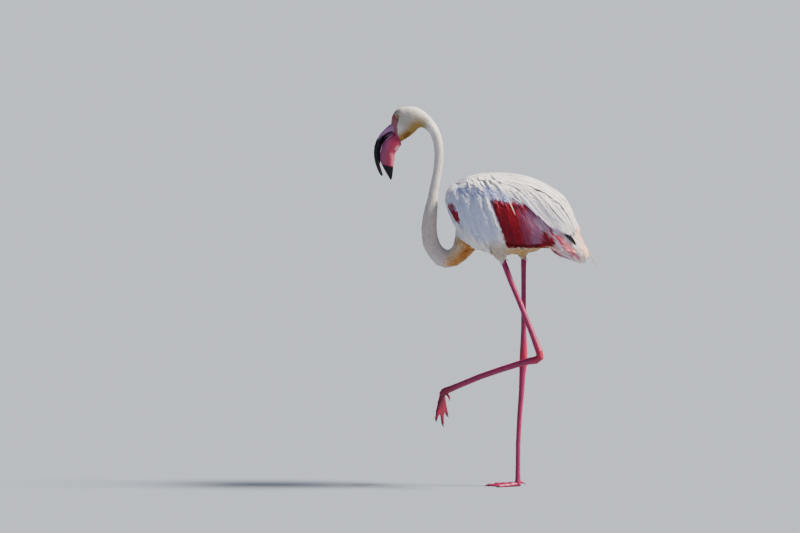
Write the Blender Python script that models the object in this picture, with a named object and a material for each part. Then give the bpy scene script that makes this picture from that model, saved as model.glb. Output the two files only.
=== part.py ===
"""A greater flamingo, life size, in mid step: it stands on its right foot and lifts the left one.

Frame, in metres: +Z is up, the bird faces -X, and its left side is -Y. The origin is on the floor,
under the end of the standing leg. The bird's plane of symmetry is Y = 0.
The numbers of the outlines below are millimetres, and MM turns them into metres.
"""

import math

import bmesh
import bpy
from mathutils import Matrix, Vector

MM = 0.001
GAP = 0.3  # between two pieces that touch, mm
CARVE_GAP = 0.7  # by which a piece is grown before it is cut out of its neighbour, mm
MOST_SPREAD = 5.0  # the most that this is stretched at a sharp edge

EYE_RADIUS = 6.6
EYE_PLACE = (-325.5, 12.0, 1000.0)  # the right eye's centre; the left one has -Y
WING_THICKNESS = 15.0
WING_PROUD = 3.0  # how far the folded wing stands out from the flank
WEB_THICKNESS = 1.8
WEB_HEIGHT = 1.1
SOLE_STEP = 0.05

# Sections of the head and the neck, from the base of the bill to the breast. Each has its place on the
# back of the neck (x, z), its place on the throat side (x, z) and its half width.
HEAD = [
    (-343.5, 981.0, -320.0, 929.5, 14.5),
    (-340.0, 1001.0, -317.0, 931.5, 17.5),
    (-332.0, 1012.5, -308.0, 936.0, 21.0),
    (-316.0, 1022.5, -294.0, 945.0, 24.0),
    (-296.0, 1029.0, -280.0, 956.0, 24.5),
    (-276.0, 1027.5, -268.5, 969.0, 23.0),
    (-258.0, 1019.5, -258.5, 972.0, 20.0),
    (-241.0, 1005.0, -249.5, 966.0, 17.5),
]
NECK = [
    HEAD[-1],
    (-227.5, 989.0, -241.5, 957.5, 16.0),
    (-216.0, 972.0, -235.0, 947.0, 15.0),
    (-206.5, 949.0, -231.0, 934.0, 14.5),
    (-201.0, 924.0, -228.0, 917.5, 14.0),
    (-199.8, 900.0, -226.8, 899.0, 13.5),
    (-200.5, 875.0, -228.5, 876.0, 13.5),
    (-204.0, 853.0, -231.0, 851.5, 13.5),
    (-208.5, 829.0, -235.0, 832.0, 14.0),
    (-213.0, 802.0, -241.5, 802.0, 15.0),
    (-215.0, 768.0, -249.0, 768.0, 17.0),
    (-217.0, 733.0, -258.0, 733.0, 19.5),
    (-218.5, 700.0, -262.0, 700.0, 21.5),
    (-216.0, 680.0, -261.5, 674.0, 23.0),
    (-211.0, 662.0, -256.5, 648.0, 24.0),
    (-203.5, 649.0, -241.0, 621.5, 24.5),
    (-193.0, 641.5, -221.0, 598.5, 25.5),
    (-183.5, 643.0, -197.0, 590.0, 27.0),
    (-175.5, 653.0, -164.0, 596.5, 30.0),
    (-171.5, 668.0, -139.0, 614.0, 34.5),
    (-170.0, 684.0, -122.0, 633.0, 39.0),
    (-167.0, 702.0, -105.0, 648.0, 43.0),
    (-159.0, 722.0, -88.0, 664.0, 46.0),
    (-147.0, 742.0, -72.0, 682.0, 47.0),
]
NECK_LENGTHS = {"neck_upper": (0, 6), "neck_middle": (6, 13), "neck_lower": (13, 23)}

# Upright slices of the trunk, from the breast to the rump: x, top, bottom and half width.
TRUNK = [
    (-199.8, 785.0, 776.0, 9.0),
    (-197.0, 797.0, 761.0, 25.0),
    (-190.0, 814.0, 739.0, 41.0),
    (-178.0, 825.0, 713.0, 55.0),
    (-160.0, 834.0, 687.0, 67.5),
    (-138.0, 843.0, 663.0, 77.0),
    (-115.0, 848.5, 647.0, 84.5),
    (-90.0, 851.5, 636.5, 91.0),
    (-50.0, 853.0, 624.5, 93.0),
    (0.0, 846.0, 623.5, 92.0),
    (45.0, 832.5, 634.0, 85.0),
    (80.0, 816.0, 643.0, 73.0),
    (108.0, 796.5, 655.0, 59.0),
    (127.0, 777.0, 668.0, 46.0),
    (140.0, 752.0, 684.0, 32.0),
    (148.0, 732.0, 704.0, 14.0),
]

# The folded wing seen from the side: x, upper edge, lower edge.
WING = [
    (-195.5, 790.0, 780.0),
    (-190.0, 804.0, 762.0),
    (-175.0, 815.0, 738.0),
    (-150.0, 824.0, 706.0),
    (-120.0, 831.0, 681.0),
    (-85.0, 835.0, 665.0),
    (-35.0, 834.0, 653.0),
    (20.0, 824.0, 648.0),
    (70.0, 806.0, 645.0),
    (100.0, 785.0, 639.0),
    (125.0, 758.0, 636.0),
    (145.0, 728.0, 641.0),
    (157.0, 703.0, 653.0),
    (163.0, 687.0, 668.0),
]
# The form that the outer faces of the folded wings follow, over the trunk and past its end: as for TRUNK.
MANTLE = [(x, top + 4, bottom - 14, half_width + WING_PROUD) for x, top, bottom, half_width in TRUNK[:11]] + [
    (80.0, 832.0, 608.0, 79.0),
    (108.0, 822.0, 598.0, 68.0),
    (127.0, 800.0, 592.0, 58.0),
    (145.0, 772.0, 598.0, 47.0),
    (163.0, 734.0, 622.0, 36.0),
]

# The tail with its coverts: upper place (x, z), lower place (x, z) and half width.
TAIL = [
    (118.0, 746.0, 70.0, 662.0, 34.0),
    (148.0, 727.0, 92.0, 633.5, 36.0),
    (160.0, 703.5, 115.0, 621.0, 36.0),
    (170.5, 679.0, 136.0, 614.0, 35.0),
    (180.0, 659.0, 153.0, 609.5, 33.0),
    (188.5, 642.0, 167.0, 605.5, 29.0),
    (192.0, 625.0, 180.5, 610.0, 19.0),
]

# Upper and lower half of the bill, from base to tip: upper place (x, z), lower place (x, z), half width.
BILL_UPPER = [
    (-343.7, 980.4, -334.2, 957.6, 13.5),
    (-350.5, 975.0, -344.0, 955.3, 13.8),
    (-360.0, 966.0, -354.5, 951.3, 13.5),
    (-372.0, 953.0, -366.3, 942.0, 12.8),
    (-382.0, 937.0, -373.6, 930.0, 12.2),
    (-387.4, 920.0, -376.2, 914.5, 11.5),
    (-389.0, 903.0, -376.5, 900.5, 10.8),
    (-388.0, 888.5, -376.2, 888.0, 9.9),
    (-384.7, 874.0, -374.6, 876.0, 8.8),
    (-380.0, 860.5, -371.5, 864.0, 7.3),
    (-374.5, 848.5, -367.6, 852.5, 5.2),
    (-368.3, 839.5, -365.0, 842.8, 2.2),
]
BILL_LOWER = [
    (-332.7, 956.0, -320.8, 930.2, 14.0),
    (-344.0, 950.5, -318.9, 920.5, 15.6),
    (-355.0, 943.0, -324.5, 911.5, 16.8),
    (-364.3, 932.5, -330.3, 905.0, 17.2),
    (-370.8, 920.0, -333.6, 897.0, 16.8),
    (-374.0, 903.0, -334.2, 886.0, 15.6),
    (-373.2, 887.0, -335.8, 873.5, 13.8),
    (-368.0, 872.5, -337.3, 861.0, 11.4),
    (-361.0, 858.5, -338.2, 850.5, 8.6),
    (-353.5, 845.5, -339.5, 841.0, 5.8),
    (-344.8, 831.0, -341.6, 829.8, 2.2),
]

# The legs, from the knee inside the body to the foot: x, y, z, half depth (fore and aft), half width.
THIGH_LEFT = [
    (-70.0, -40.0, 706.0, 42.0, 26.0),
    (-61.0, -43.0, 671.0, 36.0, 25.0),
    (-51.0, -46.0, 638.0, 24.0, 20.0),
    (-43.0, -48.5, 617.0, 13.5, 13.0),
    (-37.5, -50.0, 603.0, 8.6, 8.4),
]
THIGH_RIGHT = [
    (0.0, 40.0, 706.0, 42.0, 26.0),
    (6.0, 38.0, 671.0, 36.0, 25.0),
    (11.0, 35.5, 638.0, 22.0, 19.0),
    (14.0, 34.0, 620.0, 12.5, 12.0),
    (15.5, 33.0, 607.0, 8.4, 8.2),
]
LEG_LEFT = [
    (-41.0, -48.5, 616.0, 7.4, 6.4),
    (-35.8, -50.5, 602.0, 7.6, 6.6),
    (-19.6, -58.0, 559.0, 7.2, 6.2),
    (3.4, -69.0, 505.0, 7.1, 6.0),
    (21.0, -77.5, 461.7, 7.1, 6.0),
    (38.4, -86.0, 418.5, 7.8, 6.6),
    (49.5, -91.5, 389.0, 8.8, 7.8),
    (56.0, -94.5, 373.0, 9.6, 8.8),
    (58.8, -95.2, 357.5, 10.4, 9.4),
    (46.0, -90.0, 348.5, 10.2, 9.0),
    (30.0, -82.0, 345.5, 9.0, 7.8),
    (5.4, -70.0, 338.5, 8.2, 6.9),
    (-48.6, -41.5, 319.0, 7.8, 6.3),
    (-102.6, -12.5, 298.0, 7.7, 6.2),
    (-156.6, 17.5, 273.0, 7.7, 6.3),
    (-180.0, 31.0, 262.0, 8.4, 7.0),
    (-192.0, 38.0, 256.8, 9.0, 7.8),
]
LEG_RIGHT = [
    (15.2, 33.8, 620.0, 6.8, 6.4),
    (15.5, 33.0, 606.0, 7.0, 6.4),
    (15.5, 30.0, 556.0, 6.3, 5.8),
    (15.5, 26.0, 486.0, 6.2, 5.6),
    (15.5, 22.5, 421.0, 6.7, 5.9),
    (15.5, 20.5, 384.0, 8.7, 7.8),
    (15.3, 18.8, 354.0, 10.4, 9.4),
    (14.4, 17.3, 330.0, 10.2, 9.0),
    (12.5, 15.8, 305.0, 8.4, 7.4),
    (10.1, 13.0, 258.0, 7.1, 6.2),
    (4.6, 9.5, 190.0, 6.3, 5.6),
    (0.8, 5.5, 115.0, 6.0, 5.4),
    (0.2, 1.8, 58.0, 6.1, 5.5),
    (0.0, 0.0, 32.0, 6.5, 6.0),
    (0.0, 0.0, 16.0, 7.4, 7.0),
]
ANKLE_LEFT, ANKLE_RIGHT = 8, 6  # the point of each leg where the shank ends and the tarsus starts

# A foot with its toes forward along +X: name, angle from the middle toe in degrees (+ is to the left of
# the bird), length to the claw, claw length. Inner and outer swap sides between the two feet.
TOES = [("inner", 33.0, 62.0, 8.0), ("middle", 0.0, 80.0, 9.0), ("outer", -34.0, 72.0, 8.0)]
TOE_ROOT = (6.6, 12.5)  # half width and height of a toe at the ankle pad
TOE_END = (3.4, 6.2)  # the same at the claw
RAISED_FOOT_SPREAD = 0.68  # how much of the standing foot's spread the hanging foot keeps
RAISED_FOOT_CURL = 0.004  # how much the hanging toes curl back, 1/mm
RAISED_YAW = math.radians(36)  # by which the raised foot's front is turned to the bird's right
RAISED_SWING = math.radians(10)  # by which its toes swing forward of straight down
RAISED_TOES_AT = (-203.5, 45.0, 246.0)

# The knuckle of each foot, and its hind toe: x, y, z, half depth, half width.
STANDING_ROOT = [(0.0, 0.0, 0.6, 7.0, 6.8), (0.0, 0.0, 4.0, 8.2, 8.0), (0.0, 0.0, 10.0, 7.9, 7.6), (0.0, 0.0, 15.7, 7.4, 7.0)]
STANDING_HIND_TOE = [
    (3.0, 0.0, 13.0, 3.2, 3.0),
    (10.0, 0.0, 11.5, 2.8, 2.6),
    (16.5, 0.0, 8.5, 2.2, 2.0),
    (20.0, 0.0, 6.0, 1.2, 1.2),
    (22.0, 0.0, 4.0, 0.5, 0.5),
]
RAISED_ROOT = [
    (-192.32, 38.19, 256.66, 9.0, 7.8),
    (-194.75, 39.6, 255.6, 9.3, 8.2),
    (-199.5, 42.2, 252.0, 9.4, 8.6),
    (-203.5, 44.5, 247.0, 8.8, 8.6),
    (-205.0, 45.6, 238.5, 6.8, 7.6),
]
RAISED_HIND_TOE = [
    (-195.0, 41.0, 249.0, 3.4, 3.2),
    (-187.5, 37.5, 242.0, 3.0, 2.8),
    (-184.5, 36.0, 234.0, 2.3, 2.1),
    (-184.5, 36.0, 230.0, 1.2, 1.2),
    (-185.0, 36.3, 227.5, 0.5, 0.5),
]


WHITE, BLUSH, CRIMSON, LEG_PINK = "F2EEEA", "EFD9D6", "C22A44", "C4476F"
BILL_PINK, BLACK, EYE_YELLOW = "D98AA0", "17151A", "D9B23C"


def clear_scene():
    for thing in list(bpy.data.objects):
        bpy.data.objects.remove(thing)


def linear(hex_colour):
    """A colour's sRGB hex value as the linear RGBA that a shader takes."""
    parts = [int(hex_colour[i : i + 2], 16) / 255 for i in (0, 2, 4)]
    return [c / 12.92 if c <= 0.04045 else ((c + 0.055) / 1.055) ** 2.4 for c in parts] + [1.0]


def material(name, hex_colour, roughness):
    made = bpy.data.materials.new(name)
    made.use_nodes = True
    shader = made.node_tree.nodes["Principled BSDF"]
    shader.inputs["Base Color"].default_value = linear(hex_colour)
    shader.inputs["Roughness"].default_value = roughness
    shader.inputs["Metallic"].default_value = 0.0
    return made


def along(table, x, column):
    """The value of a column of a table sorted by x, on a straight line between its rows."""
    if x <= table[0][0]:
        return table[0][column]
    for low, high in zip(table, table[1:]):
        if x <= high[0]:
            share = (x - low[0]) / (high[0] - low[0])
            return low[column] + share * (high[column] - low[column])
    return table[-1][column]


def power(value, exponent):
    return math.copysign(abs(value) ** exponent, value)


def slanted_ring(station, sides, roundness=1.0):
    """A section between an upper and a lower place in the plane of symmetry. Roundness 1 is an ellipse, less is boxier."""
    top_x, top_z, low_x, low_z, half_width = station
    centre = Vector(((top_x + low_x) / 2, 0, (top_z + low_z) / 2))
    up = Vector(((top_x - low_x) / 2, 0, (top_z - low_z) / 2))
    ring = []
    for i in range(sides):
        angle = 2 * math.pi * i / sides
        side = Vector((0, half_width * power(math.sin(angle), roundness), 0))
        ring.append(centre + up * power(math.cos(angle), roundness) + side)
    return ring


def upright_ring(station, sides, roundness=1.0):
    x, top, bottom, half_width = station
    return slanted_ring((x, top, x, bottom, half_width), sides, roundness)


def tube_rings(path, sides):
    """Rings round a path of (x, y, z, half depth, half width), each square to it."""
    rings = []
    for i, point in enumerate(path):
        here = Vector(point[:3])
        before, after = Vector(path[max(i - 1, 0)][:3]), Vector(path[min(i + 1, len(path) - 1)][:3])
        forward = (after - before).normalized()
        depth = forward.cross(Vector((0, 1, 0))).normalized()
        width = forward.cross(depth)
        ring = []
        for k in range(sides):
            angle = 2 * math.pi * k / sides
            ring.append(here + depth * point[3] * math.cos(angle) + width * point[4] * math.sin(angle))
        rings.append(ring)
    return rings


def shifted(ring, towards):
    """The ring moved by the gap, square to its own plane, towards the middle of another ring."""
    normal = (ring[1] - ring[0]).cross(ring[len(ring) // 2] - ring[0]).normalized()
    middle = sum(ring, Vector()) / len(ring)
    if normal.dot(sum(towards, Vector()) / len(towards) - middle) < 0:
        normal.negate()
    return [p + normal * GAP for p in ring]


def solid(name, rings, finish):
    """A closed body through the rings, flat at both ends."""
    mesh = bpy.data.meshes.new(name)
    bm = bmesh.new()
    rows = [[bm.verts.new(p * MM) for p in ring] for ring in rings]
    sides = len(rings[0])
    for low, high in zip(rows, rows[1:]):
        for k in range(sides):
            bm.faces.new((low[k], low[(k + 1) % sides], high[(k + 1) % sides], high[k]))
    for row in (rows[0], rows[-1]):
        for k in range(sides // 2 - 1):
            bm.faces.new((row[k], row[k + 1], row[sides - 2 - k], row[sides - 1 - k]))
    bmesh.ops.triangulate(bm, faces=bm.faces)
    bmesh.ops.recalc_face_normals(bm, faces=bm.faces)
    bm.to_mesh(mesh)
    bm.free()
    return place(name, mesh, finish)


def place(name, mesh, finish):
    made = bpy.data.objects.new(name, mesh)
    bpy.context.scene.collection.objects.link(made)
    mesh.materials.append(finish)
    mesh.shade_smooth()
    mesh.set_sharp_from_angle(angle=math.radians(50))
    return made


def grown(source):
    """A hidden copy of a piece, grown by the carving gap, that cuts room for it out of a neighbour."""
    mesh = source.data.copy()
    bm = bmesh.new()
    bm.from_mesh(mesh)
    bm.normal_update()
    moves = [v.normal * min(v.calc_shell_factor(), MOST_SPREAD) * CARVE_GAP * MM for v in bm.verts]
    for vertex, move in zip(bm.verts, moves):
        vertex.co += move
    bm.to_mesh(mesh)
    bm.free()
    cutter = bpy.data.objects.new("room_for_" + source.name, mesh)
    bpy.context.scene.collection.objects.link(cutter)
    cutter.hide_render = True
    cutter.display_type = "WIRE"
    return cutter


def combine(target, other, operation):
    modifier = target.modifiers.new(operation.lower() + "_" + other.name, "BOOLEAN")
    modifier.operation = operation
    modifier.solver = "EXACT"
    modifier.object = other


def apply_modifiers(target):
    bpy.context.view_layer.update()
    graph = bpy.context.evaluated_depsgraph_get()
    mesh = bpy.data.meshes.new_from_object(target.evaluated_get(graph))
    target.modifiers.clear()
    target.data = mesh


def mantle_half_width(x, z):
    """How far from the plane of symmetry the outer face of the folded wing lies."""
    top, bottom, half_width = along(MANTLE, x, 1), along(MANTLE, x, 2), along(MANTLE, x, 3)
    height = 2 * (z - bottom) / (top - bottom) - 1
    return half_width * (1 - min(abs(height), 0.98) ** 2.3) ** (1 / 2.3)


def wing(name, side, finish):
    """A folded wing: a curved plate over the flank, thick in the middle and thin at its edges."""
    columns = WING
    rows = 9
    rings = []
    for i, (x, high, low) in enumerate(columns):
        run = math.sin(math.pi * (i + 1) / (len(columns) + 1)) ** 0.35
        outer, inner = [], []
        for k in range(rows + 1):
            z = low + (high - low) * k / rows
            y = mantle_half_width(x, z)
            thickness = 1.6 + WING_THICKNESS * run * math.sin(math.pi * k / rows) ** 0.55
            outer.append(Vector((x, side * y, z)))
            inner.append(Vector((x, side * max(y - thickness, 2.0), z)))
        rings.append(outer + inner[::-1])
    return solid(name, rings, finish)


def toe_rings(angle, length, sole):
    """Rings of one toe in the foot's own frame (toes along +X, +Z up), swollen at three joints, flat below."""
    direction = Vector((math.cos(math.radians(angle)), math.sin(math.radians(angle)), 0))
    across = Vector((-direction.y, direction.x, 0))
    rings = []
    steps, sides = 9, 10
    for i in range(steps + 1):
        t = i / steps
        swell = 1 + 0.09 * math.cos(2 * math.pi * 3 * t) * min(1, 3 * t)
        half_width = (TOE_ROOT[0] + (TOE_END[0] - TOE_ROOT[0]) * t) * swell
        height = (TOE_ROOT[1] + (TOE_END[1] - TOE_ROOT[1]) * t**0.7) * swell
        ring = []
        for k in range(sides):
            around = 2 * math.pi * (k + 0.5) / sides
            z = max(sole, height * (0.42 + 0.58 * math.sin(around)))
            ring.append(direction * length * t + across * half_width * math.cos(around) + Vector((0, 0, z)))
        rings.append(ring)
    return rings


def claw_rings(angle, length, claw):
    """A claw that goes on from the end of its toe and bends down to the floor."""
    direction = Vector((math.cos(math.radians(angle)), math.sin(math.radians(angle)), 0))
    across = Vector((-direction.y, direction.x, 0))
    rings = []
    steps, sides = 3, 8
    for i in range(steps + 1):
        t = i / steps
        half = 2.5 * (1 - t) ** 0.6 + 0.35
        middle = 3.4 - 2.4 * t**1.5
        ring = []
        for k in range(sides):
            around = 2 * math.pi * k / sides
            z = max(0.5, middle + half * math.sin(around))
            ring.append(direction * (length + GAP + claw * t) + across * half * 0.9 * math.cos(around) + Vector((0, 0, z)))
        rings.append(ring)
    return rings


def web_rings(first, second, height):
    """The skin between two toes, hollowed at its front edge. It slopes down a little from the ankle."""
    (angle_a, length_a), (angle_b, length_b) = first, second
    spokes, steps = 6, 4
    rings = []
    for k in range(spokes + 1):
        share = k / spokes
        angle = math.radians(angle_a + (angle_b - angle_a) * share)
        reach = (length_a + (length_b - length_a) * share) * 0.93 - 15 * math.sin(math.pi * share)
        upper, lower = [], []
        for i in range(steps + 1):
            out = i / steps
            flat = Vector((math.cos(angle), math.sin(angle), 0)) * (7 + (reach - 7) * out)
            lower.append(flat + Vector((0, 0, height - 0.4 * out)))
            upper.append(lower[-1] + Vector((0, 0, WEB_THICKNESS * (1.3 - 0.3 * out))))
        rings.append(upper + lower[::-1])
    return rings


def curled(point, curl):
    """Where a point of the flat foot goes when the toes bend down with the given curvature."""
    if curl == 0 or point.x <= 0:
        return point
    turn = curl * point.x
    reach = 1 / curl + point.z
    return Vector((reach * math.sin(turn), point.y, reach * math.cos(turn) - 1 / curl))


def foot(side_name, inner_side, frame, spread, curl, root, hind, finish, claw_finish):
    """A webbed foot with its claws. inner_side is +1 where the inner toe lies to the left of the middle one.

    frame places the toes, whose own frame is in millimetres. root is the path from the end of the tarsus to
    the toes, and hind is the path of the small hind toe with its claw.
    """
    toes = [(name, angle * inner_side * spread, length, claw) for name, angle, length, claw in TOES]
    laid = [toe_rings(angle, length, SOLE_STEP * i) for i, (_, angle, length, _) in enumerate(toes)]
    for i, ((_, a, la, _), (_, b, lb, _)) in enumerate(zip(toes, toes[1:])):
        laid.append(web_rings((a, la), (b, lb), WEB_HEIGHT + SOLE_STEP * i))
    parts = [[[frame @ curled(p, curl) for p in ring] for ring in rings] for rings in laid]
    parts.append(tube_rings(hind[:-2], 8))
    body = solid("foot_" + side_name, tube_rings(root, 12), finish)
    for i, rings in enumerate(parts):
        piece = solid(f"foot_piece_{i}", rings, finish)
        combine(body, piece, "UNION")
        apply_modifiers(body)
        bpy.data.objects.remove(piece)
    if curl == 0:
        flatten_sole(body.data)
    for name, angle, length, claw in toes:
        rings = [[frame @ curled(p, curl) for p in ring] for ring in claw_rings(angle, length, claw)]
        solid(f"claw_{name}_{side_name}", rings, claw_finish)
    claw = [(*Vector(hind[-3][:3]).lerp(Vector(hind[-2][:3]), 0.15), 1.6, 1.5), *hind[-2:]]
    solid("claw_hind_" + side_name, tube_rings(claw, 8), claw_finish)


def flatten_sole(mesh):
    """Brings the soles of the toes, which a Boolean needs on slightly different levels, to one flat level."""
    bm = bmesh.new()
    bm.from_mesh(mesh)
    sole = [v for v in bm.verts if v.co.z < 3 * SOLE_STEP * MM]
    for vertex in sole:
        vertex.co.z = 0
    bmesh.ops.remove_doubles(bm, verts=sole, dist=0.002 * MM)
    bm.to_mesh(mesh)
    bm.free()


def build():
    clear_scene()
    white = material("white_plumage", WHITE, 0.75)
    blush = material("blush_plumage", BLUSH, 0.75)
    crimson = material("crimson_coverts", CRIMSON, 0.7)
    leg_pink = material("leg_skin", LEG_PINK, 0.5)
    bill_pink = material("bill_horn", BILL_PINK, 0.4)
    black = material("black_horn", BLACK, 0.35)
    yellow = material("eye", EYE_YELLOW, 0.08)

    # Head and neck
    head = solid("head", [slanted_ring(s, 20, 0.9) for s in HEAD], white)
    necks = {}
    rings = [slanted_ring(s, 18) for s in NECK]
    for name, (first, last) in NECK_LENGTHS.items():
        part = rings[first : last + 1]
        part[0] = shifted(part[0], part[1])
        necks[name] = solid(name, part, white)
    for side_name, side in (("left", -1), ("right", 1)):
        x, y, z = EYE_PLACE
        bpy.ops.mesh.primitive_uv_sphere_add(segments=14, ring_count=8, radius=EYE_RADIUS * MM)
        eye = bpy.context.object
        eye.name = "eye_" + side_name
        eye.data.transform(Matrix.Translation(Vector((x, side * y, z)) * MM))
        eye.data.materials.append(yellow)
        eye.data.shade_smooth()
        combine(head, grown(eye), "DIFFERENCE")
    solid("bill_upper", [slanted_ring(s, 14, 0.8) for s in BILL_UPPER], bill_pink)
    solid("bill_lower", [slanted_ring(s, 14, 0.75) for s in BILL_LOWER], bill_pink)

    # Trunk, wings and tail
    trunk = solid("trunk", [upright_ring(s, 24) for s in TRUNK], white)
    wings = [wing("wing_left", -1, blush), wing("wing_right", 1, blush)]
    tail = solid("tail", [slanted_ring(s, 18, 0.85) for s in TAIL], white)
    room_for_trunk = grown(trunk)
    for made in wings:
        room = grown(made)
        for neighbour in (trunk, tail, necks["neck_lower"]):
            combine(neighbour, room, "DIFFERENCE")
    combine(tail, room_for_trunk, "DIFFERENCE")
    combine(necks["neck_lower"], room_for_trunk, "DIFFERENCE")

    # Legs
    for side_name, thigh, leg, ankle in (
        ("left", THIGH_LEFT, LEG_LEFT, ANKLE_LEFT),
        ("right", THIGH_RIGHT, LEG_RIGHT, ANKLE_RIGHT),
    ):
        cuff = solid("thigh_" + side_name, tube_rings(thigh, 16), white)
        combine(cuff, room_for_trunk, "DIFFERENCE")
        rings = tube_rings(leg, 10)
        shank = solid("shank_" + side_name, rings[: ankle + 1], leg_pink)
        combine(cuff, grown(shank), "DIFFERENCE")
        tarsus = rings[ankle:]
        tarsus[0] = shifted(tarsus[0], tarsus[1])
        solid("tarsus_" + side_name, tarsus, leg_pink)

    standing = Matrix(((-1, 0, 0, 0), (0, -1, 0, 0), (0, 0, 1, 0), (0, 0, 0, 1)))
    foot("right", 1, standing, 1.0, 0.0, STANDING_ROOT, STANDING_HIND_TOE, leg_pink, black)
    ahead = Vector((-math.cos(RAISED_YAW), math.sin(RAISED_YAW), 0))
    down = Vector((0, 0, -1))
    toes = ahead * math.sin(RAISED_SWING) + down * math.cos(RAISED_SWING)
    instep = ahead * math.cos(RAISED_SWING) - down * math.sin(RAISED_SWING)
    raised = Matrix((toes, instep.cross(toes), instep)).transposed().to_4x4()
    raised.translation = Vector(RAISED_TOES_AT) - instep * 5
    foot("left", -1, raised, RAISED_FOOT_SPREAD, RAISED_FOOT_CURL, RAISED_ROOT, RAISED_HIND_TOE, leg_pink, black)


build()
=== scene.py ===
# %% [markdown]
# # A greater flamingo in mid step
# The solids of the bird come ready from its own part: head, neck, trunk, wings, tail, legs, feet, bill and
# eyes, all in metres, with the bird facing -X and its left side at -Y. This script dresses them. One skin
# takes the place of the solids of flesh, and thousands of thin feathers are laid over it, each one a closed
# little mesh, because that is what a bird's outline and its soft edges are really made of.

# %% The frame
import math

import bpy
import numpy as np
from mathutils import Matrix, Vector
from mathutils.bvhtree import BVHTree
from mathutils.kdtree import KDTree


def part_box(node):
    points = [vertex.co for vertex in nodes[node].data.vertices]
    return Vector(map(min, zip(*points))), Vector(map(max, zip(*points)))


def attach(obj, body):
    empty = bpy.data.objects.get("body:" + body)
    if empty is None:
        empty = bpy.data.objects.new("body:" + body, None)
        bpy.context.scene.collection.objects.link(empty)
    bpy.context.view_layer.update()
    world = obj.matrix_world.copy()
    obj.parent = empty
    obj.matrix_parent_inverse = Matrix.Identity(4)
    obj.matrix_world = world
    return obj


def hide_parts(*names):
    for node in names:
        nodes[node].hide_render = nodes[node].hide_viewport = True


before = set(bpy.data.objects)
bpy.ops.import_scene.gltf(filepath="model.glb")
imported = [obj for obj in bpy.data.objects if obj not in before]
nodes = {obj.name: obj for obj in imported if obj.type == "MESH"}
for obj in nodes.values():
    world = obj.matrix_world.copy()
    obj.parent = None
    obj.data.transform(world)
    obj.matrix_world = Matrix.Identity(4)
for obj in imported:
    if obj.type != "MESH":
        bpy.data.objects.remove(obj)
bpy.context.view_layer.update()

MM = 0.001
random = np.random.default_rng(20)

# %% [markdown]
# ## Small helpers
# Colours are picked as sRGB hex values, as in any paint program, and a shader wants them linear. One function
# turns them over, one adds a node to a material with its settings and links, and a few more select things,
# copy solids and read meshes as arrays. Helpers that only one step needs are defined in that step.

# %% Colours and nodes
def linear(hex_colour):
    parts = np.array([int(hex_colour[i : i + 2], 16) / 255 for i in (0, 2, 4)])
    return np.where(parts <= 0.04045, parts / 12.92, ((parts + 0.055) / 1.055) ** 2.4)


def rgba(hex_colour):
    return (*linear(hex_colour), 1.0)


def add(tree, kind, inputs=None, **settings):
    """Adds a node. An input that is another node's socket is linked, and any other value is set."""
    node = tree.nodes.new("ShaderNode" + kind)
    for name, value in settings.items():
        setattr(node, name, value)
    for name, value in (inputs or {}).items():
        if isinstance(value, bpy.types.NodeSocket):
            tree.links.new(value, node.inputs[name])
        else:
            node.inputs[name].default_value = value
    return node


def new_material(name):
    """A material with an empty tree, and that tree."""
    made = bpy.data.materials.new(name)
    made.use_nodes = True
    made.node_tree.nodes.clear()
    return made, made.node_tree


print("the mid grey 808080 in linear light:", linear("808080").round(3).tolist())

# %% Selecting, copying and reading
def select_only(*things):
    if bpy.context.mode != "OBJECT":
        bpy.ops.object.mode_set(mode="OBJECT")
    bpy.ops.object.select_all(action="DESELECT")
    for thing in things:
        thing.select_set(True)
    if things:
        bpy.context.view_layer.objects.active = things[0]


def merged_copy(name, *sources):
    """One new object with the meshes of these solids, their loose triangles joined at the corners."""
    copies = []
    for source in sources:
        copy = bpy.data.objects.new(name, nodes[source].data.copy())
        bpy.context.scene.collection.objects.link(copy)
        copies.append(copy)
    select_only(*copies)
    if len(copies) > 1:
        bpy.ops.object.join()
    bpy.ops.object.mode_set(mode="EDIT")
    bpy.ops.mesh.select_all(action="SELECT")
    bpy.ops.mesh.remove_doubles(threshold=0.00001)
    bpy.ops.object.mode_set(mode="OBJECT")
    copies[0].data.materials.clear()
    copies[0].name = name
    return copies[0]


def apply_modifier(piece, kind, **settings):
    select_only(piece)
    modifier = piece.modifiers.new(kind.lower(), kind)
    for name, value in settings.items():
        setattr(modifier, name, value)
    bpy.ops.object.modifier_apply(modifier=modifier.name)


def points_of(piece):
    flat = np.empty(len(piece.data.vertices) * 3)
    piece.data.vertices.foreach_get("co", flat)
    return flat.reshape(-1, 3)


def normals_of(piece):
    flat = np.empty(len(piece.data.vertices) * 3)
    piece.data.vertices.foreach_get("normal", flat)
    return flat.reshape(-1, 3)


def put_points(piece, points):
    piece.data.vertices.foreach_set("co", points.ravel())
    piece.data.update()


def put_colours(piece, colours, name="marking"):
    """Stores a colour for each point of the mesh, which its material reads by name."""
    layer = piece.data.attributes.new(name, "FLOAT_COLOR", "POINT")
    layer.data.foreach_set("color", np.column_stack([colours, np.ones(len(colours))]).ravel())


def unit(vectors):
    return vectors / np.maximum(np.linalg.norm(vectors, axis=-1, keepdims=True), 1e-12)


def smooth_step(value, low, high):
    share = np.clip((value - low) / (high - low), 0, 1)
    return share * share * (3 - 2 * share)


print("corners of the trunk's solid:", len(points_of(nodes["trunk"])))

# %% [markdown]
# ## Stage, light and camera
# The bird stands on a plain pale floor that runs far out, so that no edge of it shows. Two soft suns light
# it: a warm one high up behind its tail, as on a bright afternoon, and a weak cool one that fills the shade.
# The camera is a long lens far away and a little above, which keeps the legs and the neck free of distortion.

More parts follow.
